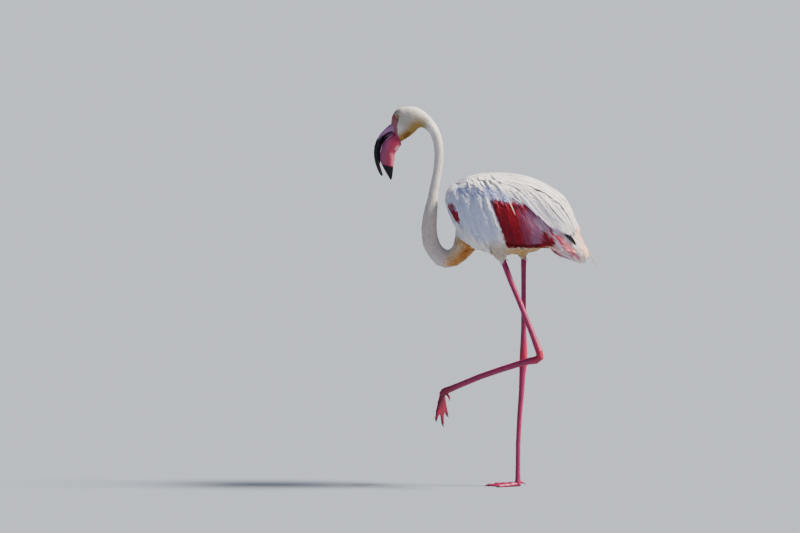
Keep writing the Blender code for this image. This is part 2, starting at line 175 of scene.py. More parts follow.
# %% Floor
FLOOR_SIZE = 160.0  # m
select_only()
bpy.ops.mesh.primitive_grid_add(
    x_subdivisions=4, y_subdivisions=4, size=FLOOR_SIZE, location=(0, 0, -0.0004),
)
floor = bpy.context.object
floor.name = "floor"
floor_paint, tree = new_material("matt wall paint, pale grey")
shader = add(tree, "BsdfPrincipled", {
    "Base Color": rgba("848F9E"), "Roughness": 0.9, "Specular IOR Level": 0.2,
})
add(tree, "OutputMaterial", {"Surface": shader.outputs["BSDF"]})
floor.data.materials.append(floor_paint)
print("floor, m:", FLOOR_SIZE)

# %% Light
def sun(name, from_direction, strength, colour, softness_degrees):
    lamp = bpy.data.lights.new(name, "SUN")
    lamp.energy = strength
    lamp.color = linear(colour)
    lamp.angle = math.radians(softness_degrees)
    placed = bpy.data.objects.new(name, lamp)
    placed.rotation_mode = "QUATERNION"
    placed.rotation_quaternion = Vector(from_direction).to_track_quat("Z", "Y")
    bpy.context.scene.collection.objects.link(placed)


sun("key", (0.74, -0.06, 0.80), 13.0, "FFF2E2", 14)
sun("fill", (-0.5, -0.9, 0.30), 0.65, "A8C0FF", 60)
world = bpy.data.worlds.new("pale studio")
bpy.context.scene.world = world
world.use_nodes = True
background = world.node_tree.nodes["Background"]
background.inputs["Color"].default_value = rgba("C2CEE2")
background.inputs["Strength"].default_value = 0.32
print("suns:", [lamp.name for lamp in bpy.data.lights])

# %% Camera
CAMERA_DISTANCE = 30.0
CAMERA_ELEVATION = math.radians(4)
PICTURE_WIDTH = 2.16  # how much of the world the frame is wide, where the bird stands
PICTURE_MIDDLE = Vector((-0.3186, 0.0, 0.5954))

camera_data = bpy.data.cameras.new("camera")
camera_data.sensor_width = 36
camera_data.lens = 36 * CAMERA_DISTANCE / PICTURE_WIDTH
camera_data.clip_end = 300
camera = bpy.data.objects.new("camera", camera_data)
bpy.context.scene.collection.objects.link(camera)
bpy.context.scene.camera = camera
back = Vector((0, -math.cos(CAMERA_ELEVATION), math.sin(CAMERA_ELEVATION)))
camera.location = PICTURE_MIDDLE + back * CAMERA_DISTANCE
camera.rotation_mode = "QUATERNION"
camera.rotation_quaternion = back.to_track_quat("Z", "Y")
print("lens, mm:", round(camera_data.lens))

# %% [markdown]
# ## Where the feathers point, and what colour they have
# On a real bird every feather lies along a flow that runs from the bill down the neck and over the body to
# the tail. The neck is followed by its own middle line. On the body a few rows say which way the feathers
# point at a place, and everything between is blended from them. The same goes for colour: marks are short
# brush strokes over a white bird, and one function gives the colour of any point, of skin and feather alike.

# %% The middle line of head and neck
# x, z and radius in mm, from the base of the bill to the breast.
NECK_LINE = np.array([
    (-332, 955, 28), (-320, 974, 38), (-288, 992, 37), (-262, 995, 25), (-245, 985, 20), (-234, 973, 17),
    (-225, 959, 16), (-219, 941, 15), (-214, 921, 14), (-213, 899, 14), (-217, 852, 14), (-227, 802, 15),
    (-237, 733, 20), (-240, 700, 22), (-234, 655, 24), (-207, 620, 26), (-170, 625, 29), (-146, 658, 37),
    (-124, 693, 46), (-110, 712, 47),
], float)


def side_on(points):
    """The points as they are seen from the side: x and z, in mm."""
    return points[:, [0, 2]] / MM


def run_along(line):
    """How far along a line each of its points lies."""
    return np.concatenate([[0], np.cumsum(np.linalg.norm(np.diff(line, axis=0), axis=1))])


line_steps = np.diff(NECK_LINE[:, :2], axis=0)
line_lengths = np.linalg.norm(line_steps, axis=1)
line_starts = run_along(NECK_LINE[:, :2])
line_headings = unit(np.gradient(NECK_LINE[:, :2], axis=0))


def neck_place(points):
    """For each point: how far down the neck it is in mm, the heading there, its distance from the middle line
    in radii, and the angle round the line, which is 0 at the throat."""
    flat = side_on(points)
    from_start = flat[:, None] - NECK_LINE[None, :-1, :2]
    share = np.clip((from_start * line_steps).sum(-1) / line_lengths**2, 0, 1)
    offset = from_start - share[..., None] * line_steps
    nearest = np.argmin((offset**2).sum(-1), axis=1)
    row = np.arange(len(points))
    share, offset = share[row, nearest], offset[row, nearest]
    before, after = line_headings[nearest], line_headings[nearest + 1]
    heading = unit(before * (1 - share)[:, None] + after * share[:, None])
    radius = NECK_LINE[nearest, 2] * (1 - share) + NECK_LINE[nearest + 1, 2] * share
    across = points[:, 1] / MM
    outwards = offset[:, 0] * heading[:, 1] - offset[:, 1] * heading[:, 0]
    down = line_starts[nearest] + share * line_lengths[nearest]
    ratio = np.hypot(across, np.linalg.norm(offset, axis=1)) / radius
    return down, heading, ratio, np.arctan2(across, -outwards)


def neck_share(points):
    """1 on the head and neck, 0 on the body, with a soft change at the base of the neck."""
    down, _, ratio, _ = neck_place(points)
    return (1 - smooth_step(ratio, 1.25, 1.7)) * (1 - smooth_step(down, line_starts[-4], line_starts[-1]))


print("length of head and neck, mm:", round(line_starts[-1]))

# %% The flow of the body's feathers
# x and z in mm, and the direction in which the feathers point there.
FLOW = np.array([
    (-190, 780, 0.50, -0.85), (-150, 830, 0.75, -0.60), (-150, 720, 0.40, -0.90), (-100, 842, 0.85, -0.50),
    (-100, 760, 0.30, -0.95), (-100, 680, 0.45, -0.90), (-40, 850, 0.90, -0.40), (-30, 765, 0.32, -0.95),
    (-30, 680, 0.38, -0.92), (40, 835, 0.80, -0.60), (40, 765, 0.60, -0.80), (40, 690, 0.50, -0.86),
    (100, 795, 0.66, -0.75), (100, 710, 0.72, -0.70), (100, 655, 0.85, -0.50), (150, 715, 0.50, -0.86),
    (150, 645, 0.74, -0.66), (185, 640, 0.42, -0.90), (-60, 628, 0.90, -0.30), (20, 626, 0.95, -0.20),
    (75, 640, 0.92, -0.35), (-50, 600, 0.10, -1.00), (12, 600, 0.05, -1.00),
], float)
FLOW_REACH = 30.0  # mm


def flow(points):
    """The direction of the feathers at each point, not yet laid along the skin."""
    flat = side_on(points)
    apart = ((flat[:, None] - FLOW[None, :, :2]) ** 2).sum(-1)
    weight = 1 / (apart + FLOW_REACH**2 / 4) ** 2
    body = unit(weight @ FLOW[:, 2:] / weight.sum(1, keepdims=True))
    _, neck, _, _ = neck_place(points)
    share = neck_share(points)[:, None]
    mixed = body * (1 - share) + neck * share
    return unit(np.column_stack([mixed[:, 0], np.zeros(len(points)), mixed[:, 1]]))


print("flow on the flank:", flow(np.array([[0.0, -0.09, 0.74]])).round(2).tolist())

# %% [markdown]
# The plumage is white, but not plainly so: the belly is cream, the base of the neck ochre, and the folded
# wing shows its crimson. Painted shade greys the neck, darkens the belly, and cools the flank, the head and
# the place under the plumes. Each mark below is one stroke of a soft brush, seen from the side. Painting them
# with a function keeps them sharp at any size and needs no image.

# %% Marks
WHITE = "F3EFEC"
# Each mark: its colour, its path of (x, z) in mm, its half width and how soft its edge is, in mm.
MARKS = [
    ("D6C2A6", [(-120, 648), (-60, 636), (40, 636), (85, 645)], 20, 26),  # cream belly, darkened with painted shade of the underside
    ("E6DBD2", [(-222, 940), (-213, 899), (-217, 852), (-227, 802), (-237, 745)], 18, 18),  # painted shade, grey beige, down the neck
    # Painted shade that darkens the neck softly down to where the body's shadow falls on it.
    ("D8CCC2", [(-231, 782), (-238, 740)], 8, 60),
    ("DAC7BA", [(-239, 716), (-240, 700), (-234, 655), (-207, 620), (-180, 612)], 20, 30),  # painted shade, warm tan, towards the base of the neck
    ("D0D1E3", [(-165, 760), (-110, 740), (-95, 700)], 34, 26),  # painted cool shade on the flank's down
    ("D4D3E4", [(-174, 796), (-160, 820), (-140, 834)], 8, 12),  # painted cool shade on the front of the back
    # Painted shade, blue grey, in a band under the plumes.
    ("B2B7D4", [(-152, 802), (-110, 796), (-62, 792), (-34, 784), (0, 777), (28, 762)], 10, 12),
    ("A6ABD2", [(-92, 812), (-74, 801), (-52, 791), (-30, 782)], 7, 9),  # painted shade under the edge of the plumes
    ("DCC09C", [(-158, 662), (-160, 640), (-178, 616)], 14, 22),
    ("CC8F50", [(-126, 648), (-138, 636), (-156, 618), (-176, 602)], 12, 19),  # ochre at the neck's base
    ("CC9458", [(-152, 666), (-142, 656), (-132, 648)], 5, 12),
    ("BC7636", [(-130, 652), (-138, 640), (-148, 628)], 8, 10),
    ("D9BFD0", [(62, 716), (98, 690), (118, 655)], 17, 12),  # mauve rear flank
    ("EDB487", [(146, 725), (168, 690), (188, 630)], 12, 9),  # peach rump side
    ("EBC9C0", [(128, 650), (158, 622)], 10, 8),
    ("F6E7D6", [(150, 640), (178, 612)], 9, 8),
    ("DE5060", [(100, 684), (130, 655), (164, 614)], 7, 5),  # salmon streak
    ("C2405A", [(104, 672), (122, 652)], 3, 4),
    ("9C2742", [(70, 650), (110, 631), (152, 608)], 3.5, 3),  # painted shade, dark red, along the lower edge
    ("BFB8CE", [(52, 776), (74, 748), (94, 714)], 3, 7),  # painted cool shade in a gap between the plumes
    ("C89C60", [(-16, 636), (40, 634), (80, 646)], 10, 12),  # golden, behind the legs
]
BEND_STRIPE = ("86041A", [(-178, 760), (-167, 738), (-158, 721)], 6.5, 1)  # at the bend of the wing
# The outline of the crimson panel, and the strokes that are painted inside it.
PANEL = [(-72, 779), (-40, 774), (20, 766), (62, 742), (84, 708), (92, 668), (80, 649), (-30, 653)]
PANEL_STROKES = [
    ("80021A", [(-60, 772), (-42, 715), (-24, 660)], 17, 10),  # deep crimson front
    ("74040F", [(-20, 664), (30, 660), (70, 656)], 9, 8),
    ("943450", [(2, 755), (14, 705), (20, 674)], 7, 9),
    ("A0607E", [(24, 746), (40, 708), (42, 674)], 11, 10),
    ("BE98AC", [(50, 733), (66, 705), (71, 689)], 9, 8),
    ("84041C", [(66, 694), (76, 668), (82, 656)], 6, 6),
    # Painted shadow of the plumes along the top edge of the panel.
    ("8A1430", [(-66, 777), (-20, 770), (18, 764)], 4, 4),
]
HEAD_MARKS = [
    # Painted shade, grey, on the side of the head.
    ("BDB5A6", [(-318, 998), (-290, 996), (-266, 984)], 20, 20),
    ("9C9288", [(-336, 1008), (-326, 1016)], 4, 9),  # painted shade on the forehead
    ("A5823F", [(-312, 940), (-290, 956), (-270, 972)], 16, 21),  # ochre stain of the throat, deepened with painted shade
    ("8A5418", [(-305, 948), (-296, 956)], 3.5, 7),
]
# The crimson of the panel, and the painted shade, lilac grey, in the hollows of the flank's folds.
CRIMSON, FOLD_PAINTED_SHADE = "94061A", "B6BCDA"
print("brush strokes:", len(MARKS) + len(PANEL_STROKES) + len(HEAD_MARKS) + 1)

# %% Strokes and the panel
PANEL_SOFTNESS = 1.8  # how far its edge fades to each side, mm


def along_line(flat, line):
    """For each point of the side view: how far it is from the line, and from the line's start along it."""
    away, along, done = np.full(len(flat), np.inf), np.zeros(len(flat)), 0.0
    line = np.array(line, float)
    for start, end in zip(line, line[1:]):
        share = np.clip((flat - start) @ (end - start) / ((end - start) ** 2).sum(), 0, 1)
        apart = np.linalg.norm(flat - start - share[:, None] * (end - start), axis=1)
        closer = apart < away
        away[closer] = apart[closer]
        along[closer] = done + share[closer] * np.linalg.norm(end - start)
        done += np.linalg.norm(end - start)
    return away, along


def stroke(flat, path, half_width, softness):
    """How much of a brush stroke along the path reaches each point, 0 to 1."""
    away, _ = along_line(flat, path)
    return 1 - smooth_step(away, half_width - softness / 2, half_width + softness)


def inside_panel(flat):
    """1 inside the crimson panel of the wing's coverts and 0 outside, with a soft edge."""
    inside = np.zeros(len(flat), bool)
    outline = np.array([*PANEL, PANEL[0]], float)
    for start, end in zip(outline, outline[1:]):
        crosses = (start[1] > flat[:, 1]) != (end[1] > flat[:, 1])
        rise = end[1] - start[1] if end[1] != start[1] else 1e-9
        inside ^= crosses & (flat[:, 0] < (end[0] - start[0]) * (flat[:, 1] - start[1]) / rise + start[0])
    away, _ = along_line(flat, outline)
    return smooth_step(np.where(inside, away, -away), -PANEL_SOFTNESS, PANEL_SOFTNESS)


print("middle of the panel:", inside_panel(np.array([[0.0, 710.0]])).tolist())

# %% Folds of the flank
# The down of the flanks lies in soft folds that run the way its feathers point.
FOLD_PITCH, FOLD_HEIGHT = 25.0, 2.6  # mm


def flank_folds(points):
    """The height of the folds at each point, -1 to 1, and 0 away from the flanks."""
    x, z = points[:, 0] / MM, points[:, 2] / MM
    across = 0.95 * x + 0.3 * (z - 740)
    wave = np.sin(2 * math.pi * across / FOLD_PITCH + 1.4 * np.sin(2 * math.pi * across / 67 + z / 60))
    window = smooth_step(x, -178, -160) * smooth_step(-x, 40, 70)
    window *= smooth_step(z, 655, 690) * smooth_step(-z, -810, -780)
    return wave * window * smooth_step(np.abs(points[:, 1]) / MM, 20, 45)


print("folds from crest to crest, mm:", FOLD_PITCH)

# %% The colour of any point
def painted(colours, colour, amount):
    """The colours with so much of another colour over each, 0 to 1."""
    return colours * (1 - amount)[:, None] + colour * amount[:, None]


def brushed(colours, flat, marks, share=1.0):
    """The colours with the strokes of these marks over them, each as strong as the share."""
    for hex_colour, *path in marks:
        colours = painted(colours, linear(hex_colour), stroke(flat, *path) * share)
    return colours


def markings(points):
    """The linear colour of the plumage at each point, painted shade included, the same on both sides of the
    bird.
    """
    flat = side_on(points)
    side = smooth_step(np.abs(points[:, 1]) / MM, 8, 22)
    # The hollows of the folds get painted shade.
    painted_fold_shade = np.maximum(-flank_folds(points), 0)
    colours = linear(WHITE) * (1 - np.outer(painted_fold_shade, 1 - linear(FOLD_PAINTED_SHADE)))
    colours = brushed(colours, flat, MARKS)
    colours = brushed(colours, flat, [BEND_STRIPE], side)
    panel = inside_panel(flat) * side
    colours = painted(colours, linear(CRIMSON), panel)
    colours = brushed(colours, flat, PANEL_STROKES, panel)
    return brushed(colours, flat, HEAD_MARKS)


print("colour in the panel:", markings(np.array([[-0.04, -0.09, 0.70]])).round(3).tolist())

# %% The bare skin of the face
def line_through(rows):
    """A function that gives the second number of the rows for any value of the first."""
    rows = np.array(rows, float)
    return lambda value: np.interp(value, rows[:, 0], rows[:, 1])


# The border of the feathers behind the bill: x for each z, in mm.
face_edge = line_through([(924, -315), (937, -318), (956, -324), (975, -326), (996, -321), (1010, -337)])
FACE_BOTTOM = 915.0  # mm; under it the feathers of the throat reach forward to the bill
OUTWARDS = {"left": -1, "right": 1}  # the bird's left side is at -Y
EYE_SUNK = 2.5 * MM  # the ball lies this much deeper than its solid, so that the lids can close round it
EYE_PLACE = {
    side: sum(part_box("eye_" + side), Vector()) / 2 - Vector((0, outwards * EYE_SUNK, 0))
    for side, outwards in OUTWARDS.items()
}
EYE_RADIUS = (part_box("eye_left")[1].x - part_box("eye_left")[0].x) / 2
BARE_RING = 1.3 * MM  # bare skin round the eye


def bare_face(points):
    """True where the face has no feathers: between the bill and a line behind it, and round the eye."""
    x, z = points[:, 0] / MM, points[:, 2] / MM
    lores = (x < face_edge(z)) & (z > FACE_BOTTOM)
    away = [np.linalg.norm(points - np.array(place), axis=1) for place in EYE_PLACE.values()]
    return lores | (np.minimum(*away) < EYE_RADIUS + BARE_RING)


print("eye radius, mm:", round(EYE_RADIUS / MM, 2))

# %% [markdown]
# ## The skin
# Under its feathers a bird is one closed skin. It is made from copies of the solids of flesh: they are grown
# a hair so that they meet, fused by a voxel remesh, smoothed, and then drawn inwards by the depth of the
# plumage, which is thin on the head and thick on the back. The legs are bare, so they are fused at a finer
# grain and keep their size. All of it is one object, so no seam shows.

# %% Body skin
FLESH = [
    "head", "neck_upper", "neck_middle", "neck_lower", "trunk", "tail",
    "thigh_left", "thigh_right", "wing_left", "wing_right",
]
BODY_GRAIN = 3.8 * MM


def fused(name, sources, growth, grain, smoothing):
    """The solids grown until they meet and made one closed mesh of even grain."""
    piece = merged_copy(name, *sources)
    bpy.ops.object.mode_set(mode="EDIT")
    bpy.ops.mesh.select_all(action="SELECT")
    bpy.ops.transform.shrink_fatten(value=growth)
    bpy.ops.object.mode_set(mode="OBJECT")
    apply_modifier(piece, "REMESH", mode="VOXEL", voxel_size=grain)
    apply_modifier(piece, "SMOOTH", factor=0.5, iterations=smoothing)
    return piece


def coat_depth(points):
    """How far the skin lies inside the solids, in mm."""
    x, z = points[:, 0] / MM, points[:, 2] / MM
    down, _, _, _ = neck_place(points)
    neck = 1.3 + 1.4 * smooth_step(down, 60, 220)
    body = 6.5 - 3.0 * smooth_step(x, 60, 130)
    body = body - 2.5 * smooth_step(-z, -660, -625)
    share = neck_share(points)
    bare = 1 - smooth_step(x, face_edge(z) - 1, face_edge(z) + 5)
    return (neck * share + body * (1 - share)) * (1 - bare)


skin = fused("skin", FLESH, 0.5 * MM, BODY_GRAIN, 4)
# The body is smoothed further than the neck and head, so that wings and trunk run into each other.
on_trunk = 1 - neck_share(points_of(skin))
group = skin.vertex_groups.new(name="trunk")
for i in np.flatnonzero(on_trunk > 0).tolist():
    group.add([i], float(on_trunk[i]), "REPLACE")
apply_modifier(skin, "SMOOTH", factor=0.5, iterations=14, vertex_group="trunk")
skin.vertex_groups.clear()
skin_points = points_of(skin)
skin_points -= normals_of(skin) * (coat_depth(skin_points)[:, None] + 0.5) * MM
skin_points += normals_of(skin) * (flank_folds(skin_points) * FOLD_HEIGHT)[:, None] * MM
# The forehead swells a little over the eyes.
FOREHEAD, FOREHEAD_WIDTH, FOREHEAD_SWELL = (-324, 1019), 20.0, 4.6  # x and z, reach and height, mm
from_brow = np.linalg.norm(side_on(skin_points) - FOREHEAD, axis=1)
swell = FOREHEAD_SWELL * np.exp(-((from_brow / FOREHEAD_WIDTH) ** 2)) * (1 - normals_of(skin)[:, 1] ** 2)
skin_points += normals_of(skin) * swell[:, None] * MM
put_points(skin, skin_points)
print("body skin faces:", len(skin.data.polygons))

# %% The head's skin, finer, with the sockets of the eyes
def centres_of(piece):
    return np.array([face.center for face in piece.data.polygons])


def pick(piece, kind, chosen):
    """Selects the chosen faces ("FACE") or points ("VERT") of a piece, and leaves it in edit mode."""
    select_only(piece)
    bpy.ops.object.mode_set(mode="EDIT")
    bpy.ops.mesh.select_mode(type=kind)
    bpy.ops.mesh.select_all(action="DESELECT")
    bpy.ops.object.mode_set(mode="OBJECT")
    parts = piece.data.polygons if kind == "FACE" else piece.data.vertices
    parts.foreach_set("select", chosen)
    bpy.ops.object.mode_set(mode="EDIT")


HEAD_BACK, HEAD_BOTTOM = -0.285, 0.915  # the finer skin lies ahead of this x and over this z, m
SOCKET_RADIUS = EYE_RADIUS + 0.2 * MM
SOCKET_DEPTH = 2.0 * MM  # behind the middle of the eye
centres = centres_of(skin)
pick(skin, "FACE", (centres[:, 0] < HEAD_BACK) & (centres[:, 2] > HEAD_BOTTOM))
bpy.ops.mesh.subdivide(number_cuts=1, smoothness=0.8)
bpy.ops.object.mode_set(mode="OBJECT")
skin_points = points_of(skin)
for side, place in EYE_PLACE.items():
    near = np.linalg.norm(skin_points - np.array(place), axis=1) < SOCKET_RADIUS
    skin_points[near, 1] = place.y - OUTWARDS[side] * SOCKET_DEPTH
put_points(skin, skin_points)
print("skin faces with the finer head:", len(skin.data.polygons))

# %% [markdown]
# The legs of a flamingo are covered in scutes, wide plates in front and small ones behind, and the ankle is
# a knobbly joint. The plates are pressed into the mesh as shallow rings, a few tenths of a millimetre deep.

# %% The middle line of a leg
LINE_STEP, SLICE = 5 * MM, 12 * MM  # between the points of the middle line; half the height of a slice
RAISED_ANKLE = 0.345  # the height under which the raised leg has turned forwards, m


def leg_line(side):
    """The middle line of a leg from thigh to foot, in even steps through the middles of slices."""
    points = np.vstack([points_of(nodes[f"{part}_{side}"]) for part in ("shank", "tarsus")])
    place = points[:, 2]
    if side == "left":
        # Past the ankle the raised leg runs forwards, so there x gives the order.
        ankle = np.array(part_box("tarsus_left")[1])
        place = np.where(place > RAISED_ANKLE, place, RAISED_ANKLE - (ankle[0] - points[:, 0]))
    levels = np.linspace(place.max(), place.min(), 60)
    rows = []
    for low, high in zip(levels[1:], levels):
        inside = (place >= low - SLICE) & (place <= high + SLICE)
        if inside.any():
            middle = points[inside].mean(0)
            if not rows or np.linalg.norm(middle - rows[-1]) > LINE_STEP:
                rows.append(middle)
    rows = np.array(rows)
    run = run_along(rows)
    even = np.arange(0, run[-1] + LINE_STEP, LINE_STEP)
    return np.column_stack([np.interp(even, run, rows[:, k]) for k in range(3)])


print("points of the standing leg's middle line:", len(leg_line("right")))

# %% Legs and feet
LEG_PARTS = ["shank", "tarsus", "foot"]
LEG_GRAIN = 1.36 * MM


def search_tree(places):
    """Finds the nearest of these places quickly."""
    tree = KDTree(len(places))
    for i, place in enumerate(places.tolist()):
        tree.insert(place, i)
    tree.balance()
    return tree


SCUTE_PITCH, SCUTE_DEPTH = 5.2 * MM, 0.28 * MM
legs = []
for side in OUTWARDS:
    leg = fused("leg_" + side, [f"{part}_{side}" for part in LEG_PARTS], 0.7 * MM, LEG_GRAIN, 2)
    points, outwards = points_of(leg), normals_of(leg)
    line = leg_line(side)
    tree = search_tree(line)
    nearest = np.array([tree.find(p)[1] for p in points])
    heading = unit(line[np.minimum(nearest + 1, len(line) - 1)] - line[np.maximum(nearest - 1, 0)])
    offset = points - line[nearest]
    down = run_along(line)[nearest] + (offset * heading).sum(1)
    wave = np.abs(np.sin(math.pi * down / SCUTE_PITCH)) ** 0.5 - 1
    on_leg = 1 - smooth_step(np.linalg.norm(offset, axis=1), 0.011, 0.014)  # the toes have no rings
    points += outwards * (wave * SCUTE_DEPTH * on_leg)[:, None]
    points[:, 2] = np.maximum(points[:, 2], 0)
    put_points(leg, points)
    offset = points - line[nearest]
    around = np.arctan2(offset[:, 1], (offset * unit(np.cross(heading, [0.0, 1.0, 0.0]))).sum(1))
    layer = leg.data.attributes.new("scutes", "FLOAT2", "POINT")
    layer.data.foreach_set("vector", np.column_stack([down / MM, around * 7]).ravel())
    legs.append(leg)
    print(side, "leg faces:", len(leg.data.polygons))

# %% [markdown]
# The lids are two thin folds of bare skin that slide over the ball of the eye. Together they are made as a
# shell a little wider than the ball, with a round opening where the eye looks out, and a soft rim round it.

# %% Lids
LID_OPENING, LID_RIM, LID_THICKNESS = 4.0 * MM, 0.55 * MM, 0.35 * MM
LID_ANGLE = math.asin(LID_OPENING / EYE_RADIUS)  # from the axis of the eye


def gaze(side):
    """Where an eye looks: outwards, and a little ahead and up."""
    return Vector((-0.12, OUTWARDS[side], 0.05)).normalized()


def facing(points, side):
    """How far each point lies in front of an eye: the cosine of its angle from the axis."""
    return unit(points - np.array(EYE_PLACE[side])) @ np.array(gaze(side))


def named(name):
    """Names the primitive that was just added, and moves its place and turn into its mesh."""
    piece = bpy.context.object
    piece.name = name
    bpy.ops.object.transform_apply(location=True, rotation=True, scale=True)
    return piece


def eye_shell(name, side, radius, rings):
    """A ball at the place of an eye, with its poles on the axis."""
    select_only()
    bpy.ops.mesh.primitive_uv_sphere_add(
        segments=48, ring_count=rings, radius=radius, location=EYE_PLACE[side],
        rotation=gaze(side).to_track_quat("Z", "Y").to_euler(),
    )
    return named(name)


lids = []
for side, place in EYE_PLACE.items():
    lid = eye_shell("lid_" + side, side, EYE_RADIUS + LID_THICKNESS, 48)
    pick(lid, "VERT", facing(points_of(lid), side) > math.cos(LID_ANGLE))
    bpy.ops.mesh.delete(type="VERT")
    select_only()
    bpy.ops.mesh.primitive_torus_add(
        location=place + gaze(side) * EYE_RADIUS * math.cos(LID_ANGLE),
        rotation=gaze(side).to_track_quat("Z", "Y").to_euler(),
        major_radius=LID_OPENING + 0.3 * MM, minor_radius=LID_RIM, major_segments=48, minor_segments=12,
    )
    lids += [lid, named("lid_rim_" + side)]
print("lid faces:", sum(len(lid.data.polygons) for lid in lids))

# %% [markdown]
# ## What the bare parts are made of
# Leg skin is tough and smooth, with a satin gleam, in a strong magenta pink that turns redder at the joints.
# The bare skin of the face is a dull brownish pink. Down is the white underlayer that shows between feathers.

# %% Down
# Down: soft white fluff. It is matt, and its loose fibres give it a faint bloom where light grazes it.
down_material, tree = new_material("down under plumage")
place = add(tree, "TexCoord").outputs["Object"]
fluff = add(tree, "TexNoise", {"Vector": place, "Scale": 1 / (3 * MM), "Detail": 4.0, "Roughness": 0.7})
relief = add(tree, "Bump", {"Height": fluff.outputs["Fac"], "Distance": 0.8 * MM, "Strength": 0.5})
shader = add(tree, "BsdfPrincipled", {
    "Base Color": add(tree, "Attribute", attribute_name="marking").outputs["Color"],
    "Roughness": 0.95,
    "Specular IOR Level": 0.15,
    "Sheen Weight": 0.2,
    "Normal": relief.outputs["Normal"],
})
add(tree, "OutputMaterial", {"Surface": shader.outputs["BSDF"]})
print("made:", down_material.name)

# %% Leg skin
# Leg skin: keratin scutes over skin, grown and polished by water. It gives a satin gleam and fine seams.
leg_material, tree = new_material("leg skin, keratin scutes")
place = add(tree, "TexCoord").outputs["Object"]
scutes = add(tree, "Attribute", attribute_name="scutes").outputs["Vector"]
plates = add(tree, "TexVoronoi", {"Vector": scutes, "Scale": 1 / 2.6}, feature="DISTANCE_TO_EDGE")
seams = add(tree, "MapRange", {"Value": plates.outputs["Distance"], "From Max": 0.12})
stain = add(tree, "TexNoise", {"Vector": place, "Scale": 1 / (22 * MM), "Detail": 3.0})
worn = add(tree, "MixRGB", {
    "Fac": stain.outputs["Fac"], "Color1": rgba("B42260"), "Color2": rgba("94184A"),
})
tinted = add(tree, "MixRGB", {
    "Fac": 1.0, "Color1": worn.outputs["Color"],
    "Color2": add(tree, "Attribute", attribute_name="marking").outputs["Color"],
}, blend_type="MULTIPLY")
seamed = add(tree, "MixRGB", {
    "Fac": seams.outputs["Result"], "Color1": rgba("5E0C30"), "Color2": tinted.outputs["Color"],
})
relief = add(tree, "Bump", {"Height": seams.outputs["Result"], "Distance": 0.25 * MM, "Strength": 0.6})
shader = add(tree, "BsdfPrincipled", {
    "Base Color": seamed.outputs["Color"],
    "Roughness": 0.42,
    "Specular IOR Level": 0.45,
    "Subsurface Weight": 0.06,
    "Subsurface Radius": (0.004, 0.0015, 0.001),
    "Normal": relief.outputs["Normal"],
})
add(tree, "OutputMaterial", {"Surface": shader.outputs["BSDF"]})
print("made:", leg_material.name)

# %% Facial skin
# Facial skin: thin bare skin with fine folds. Dull, a little greasy, brownish pink.
face_material, tree = new_material("bare facial skin")
place = add(tree, "TexCoord").outputs["Object"]
folds = add(tree, "TexNoise", {"Vector": place, "Scale": 1 / (1.6 * MM), "Detail": 5.0, "Roughness": 0.65})
patch = add(tree, "TexNoise", {"Vector": place, "Scale": 1 / (7 * MM), "Detail": 2.0})
fleshy = add(tree, "MixRGB", {
    "Fac": patch.outputs["Fac"], "Color1": rgba("A85E68"), "Color2": rgba("6E4038"),
})
relief = add(tree, "Bump", {"Height": folds.outputs["Fac"], "Distance": 0.5 * MM, "Strength": 0.6})
shader = add(tree, "BsdfPrincipled", {
    "Base Color": fleshy.outputs["Color"],
    "Roughness": 0.5,
    "Specular IOR Level": 0.4,
    "Subsurface Weight": 0.08,
    "Subsurface Radius": (0.003, 0.0012, 0.0008),
    "Normal": relief.outputs["Normal"],
})
add(tree, "OutputMaterial", {"Surface": shader.outputs["BSDF"]})
print("made:", face_material.name)

# %% [markdown]
# Body, legs and lids now get their colours and materials and are joined to one skin. It has three material
# slots: down on the body, leg skin on the legs, and facial skin on the bare face and the lids.

# %% Colours of the skin
# The middles of the raised ankle and of the standing one.
ANKLES = [
    np.array([58.8, -95.2, 357.5]) * MM,
    (np.array(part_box("shank_right")[0]) + np.array(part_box("tarsus_right")[1])) / 2,
]
REDDER = np.array([1.25, 0.5, 0.5])  # at the ankles
TOE_PAINTED_SHADE = np.array([0.72, 0.45, 0.36])  # painted shade, dark red, on the raised toes
for leg in legs:
    points = points_of(leg)
    from_ankle = np.min([np.linalg.norm(points - ankle, axis=1) for ankle in ANKLES], axis=0)
    tint = painted(np.ones((len(points), 3)), REDDER, 1 - smooth_step(from_ankle, 0.012, 0.045))
    put_colours(leg, painted(tint, TOE_PAINTED_SHADE, smooth_step(-points[:, 0], 0.165, 0.2)))
for lid in lids:
    put_colours(lid, np.ones((len(lid.data.vertices), 3)))
put_colours(skin, markings(points_of(skin)))
# Which of the three materials each face wears: 0 down, 1 leg skin, 2 facial skin.
on_face = np.where(bare_face(centres_of(skin)), 2, 0)
for piece, index in [(skin, on_face), *((leg, 1) for leg in legs), *((lid, 2) for lid in lids)]:
    for material in (down_material, leg_material, face_material):
        piece.data.materials.append(material)
    piece.data.polygons.foreach_set("material_index", np.full(len(piece.data.polygons), index, np.int32))
print("bare faces of the head:", int((on_face == 2).sum()))

# %% One skin
# The feathers are laid on the body alone, so its surface is read before the legs are joined to it.
skin.data.calc_loop_triangles()
corners = np.empty(len(skin.data.loop_triangles) * 3, np.int32)
skin.data.loop_triangles.foreach_get("vertices", corners)
corners = corners.reshape(-1, 3)
skin_points, skin_normals = points_of(skin), normals_of(skin)
skin_tree = BVHTree.FromPolygons(skin_points.tolist(), corners.tolist())

select_only(skin, *legs, *lids)
bpy.ops.object.join()
bpy.ops.object.shade_smooth()
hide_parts(*FLESH, *[f"{part}_{side}" for part in LEG_PARTS for side in ("left", "right")])
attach(skin, "root")
print("whole skin faces:", len(skin.data.polygons))

# %% [markdown]
# ## The bill
# A flamingo's bill is bent in the middle. The lower half is a deep trough, the upper one a thin lid over it.
# It is horn: lilac pink at its base, rose on the lower half, and black at the tip and along the lid. Copies
# of the two solids are fused at a fine grain and smoothed, and then the nostril and the fine ribs along the
# edge, with which it sieves its food, are pressed into them.

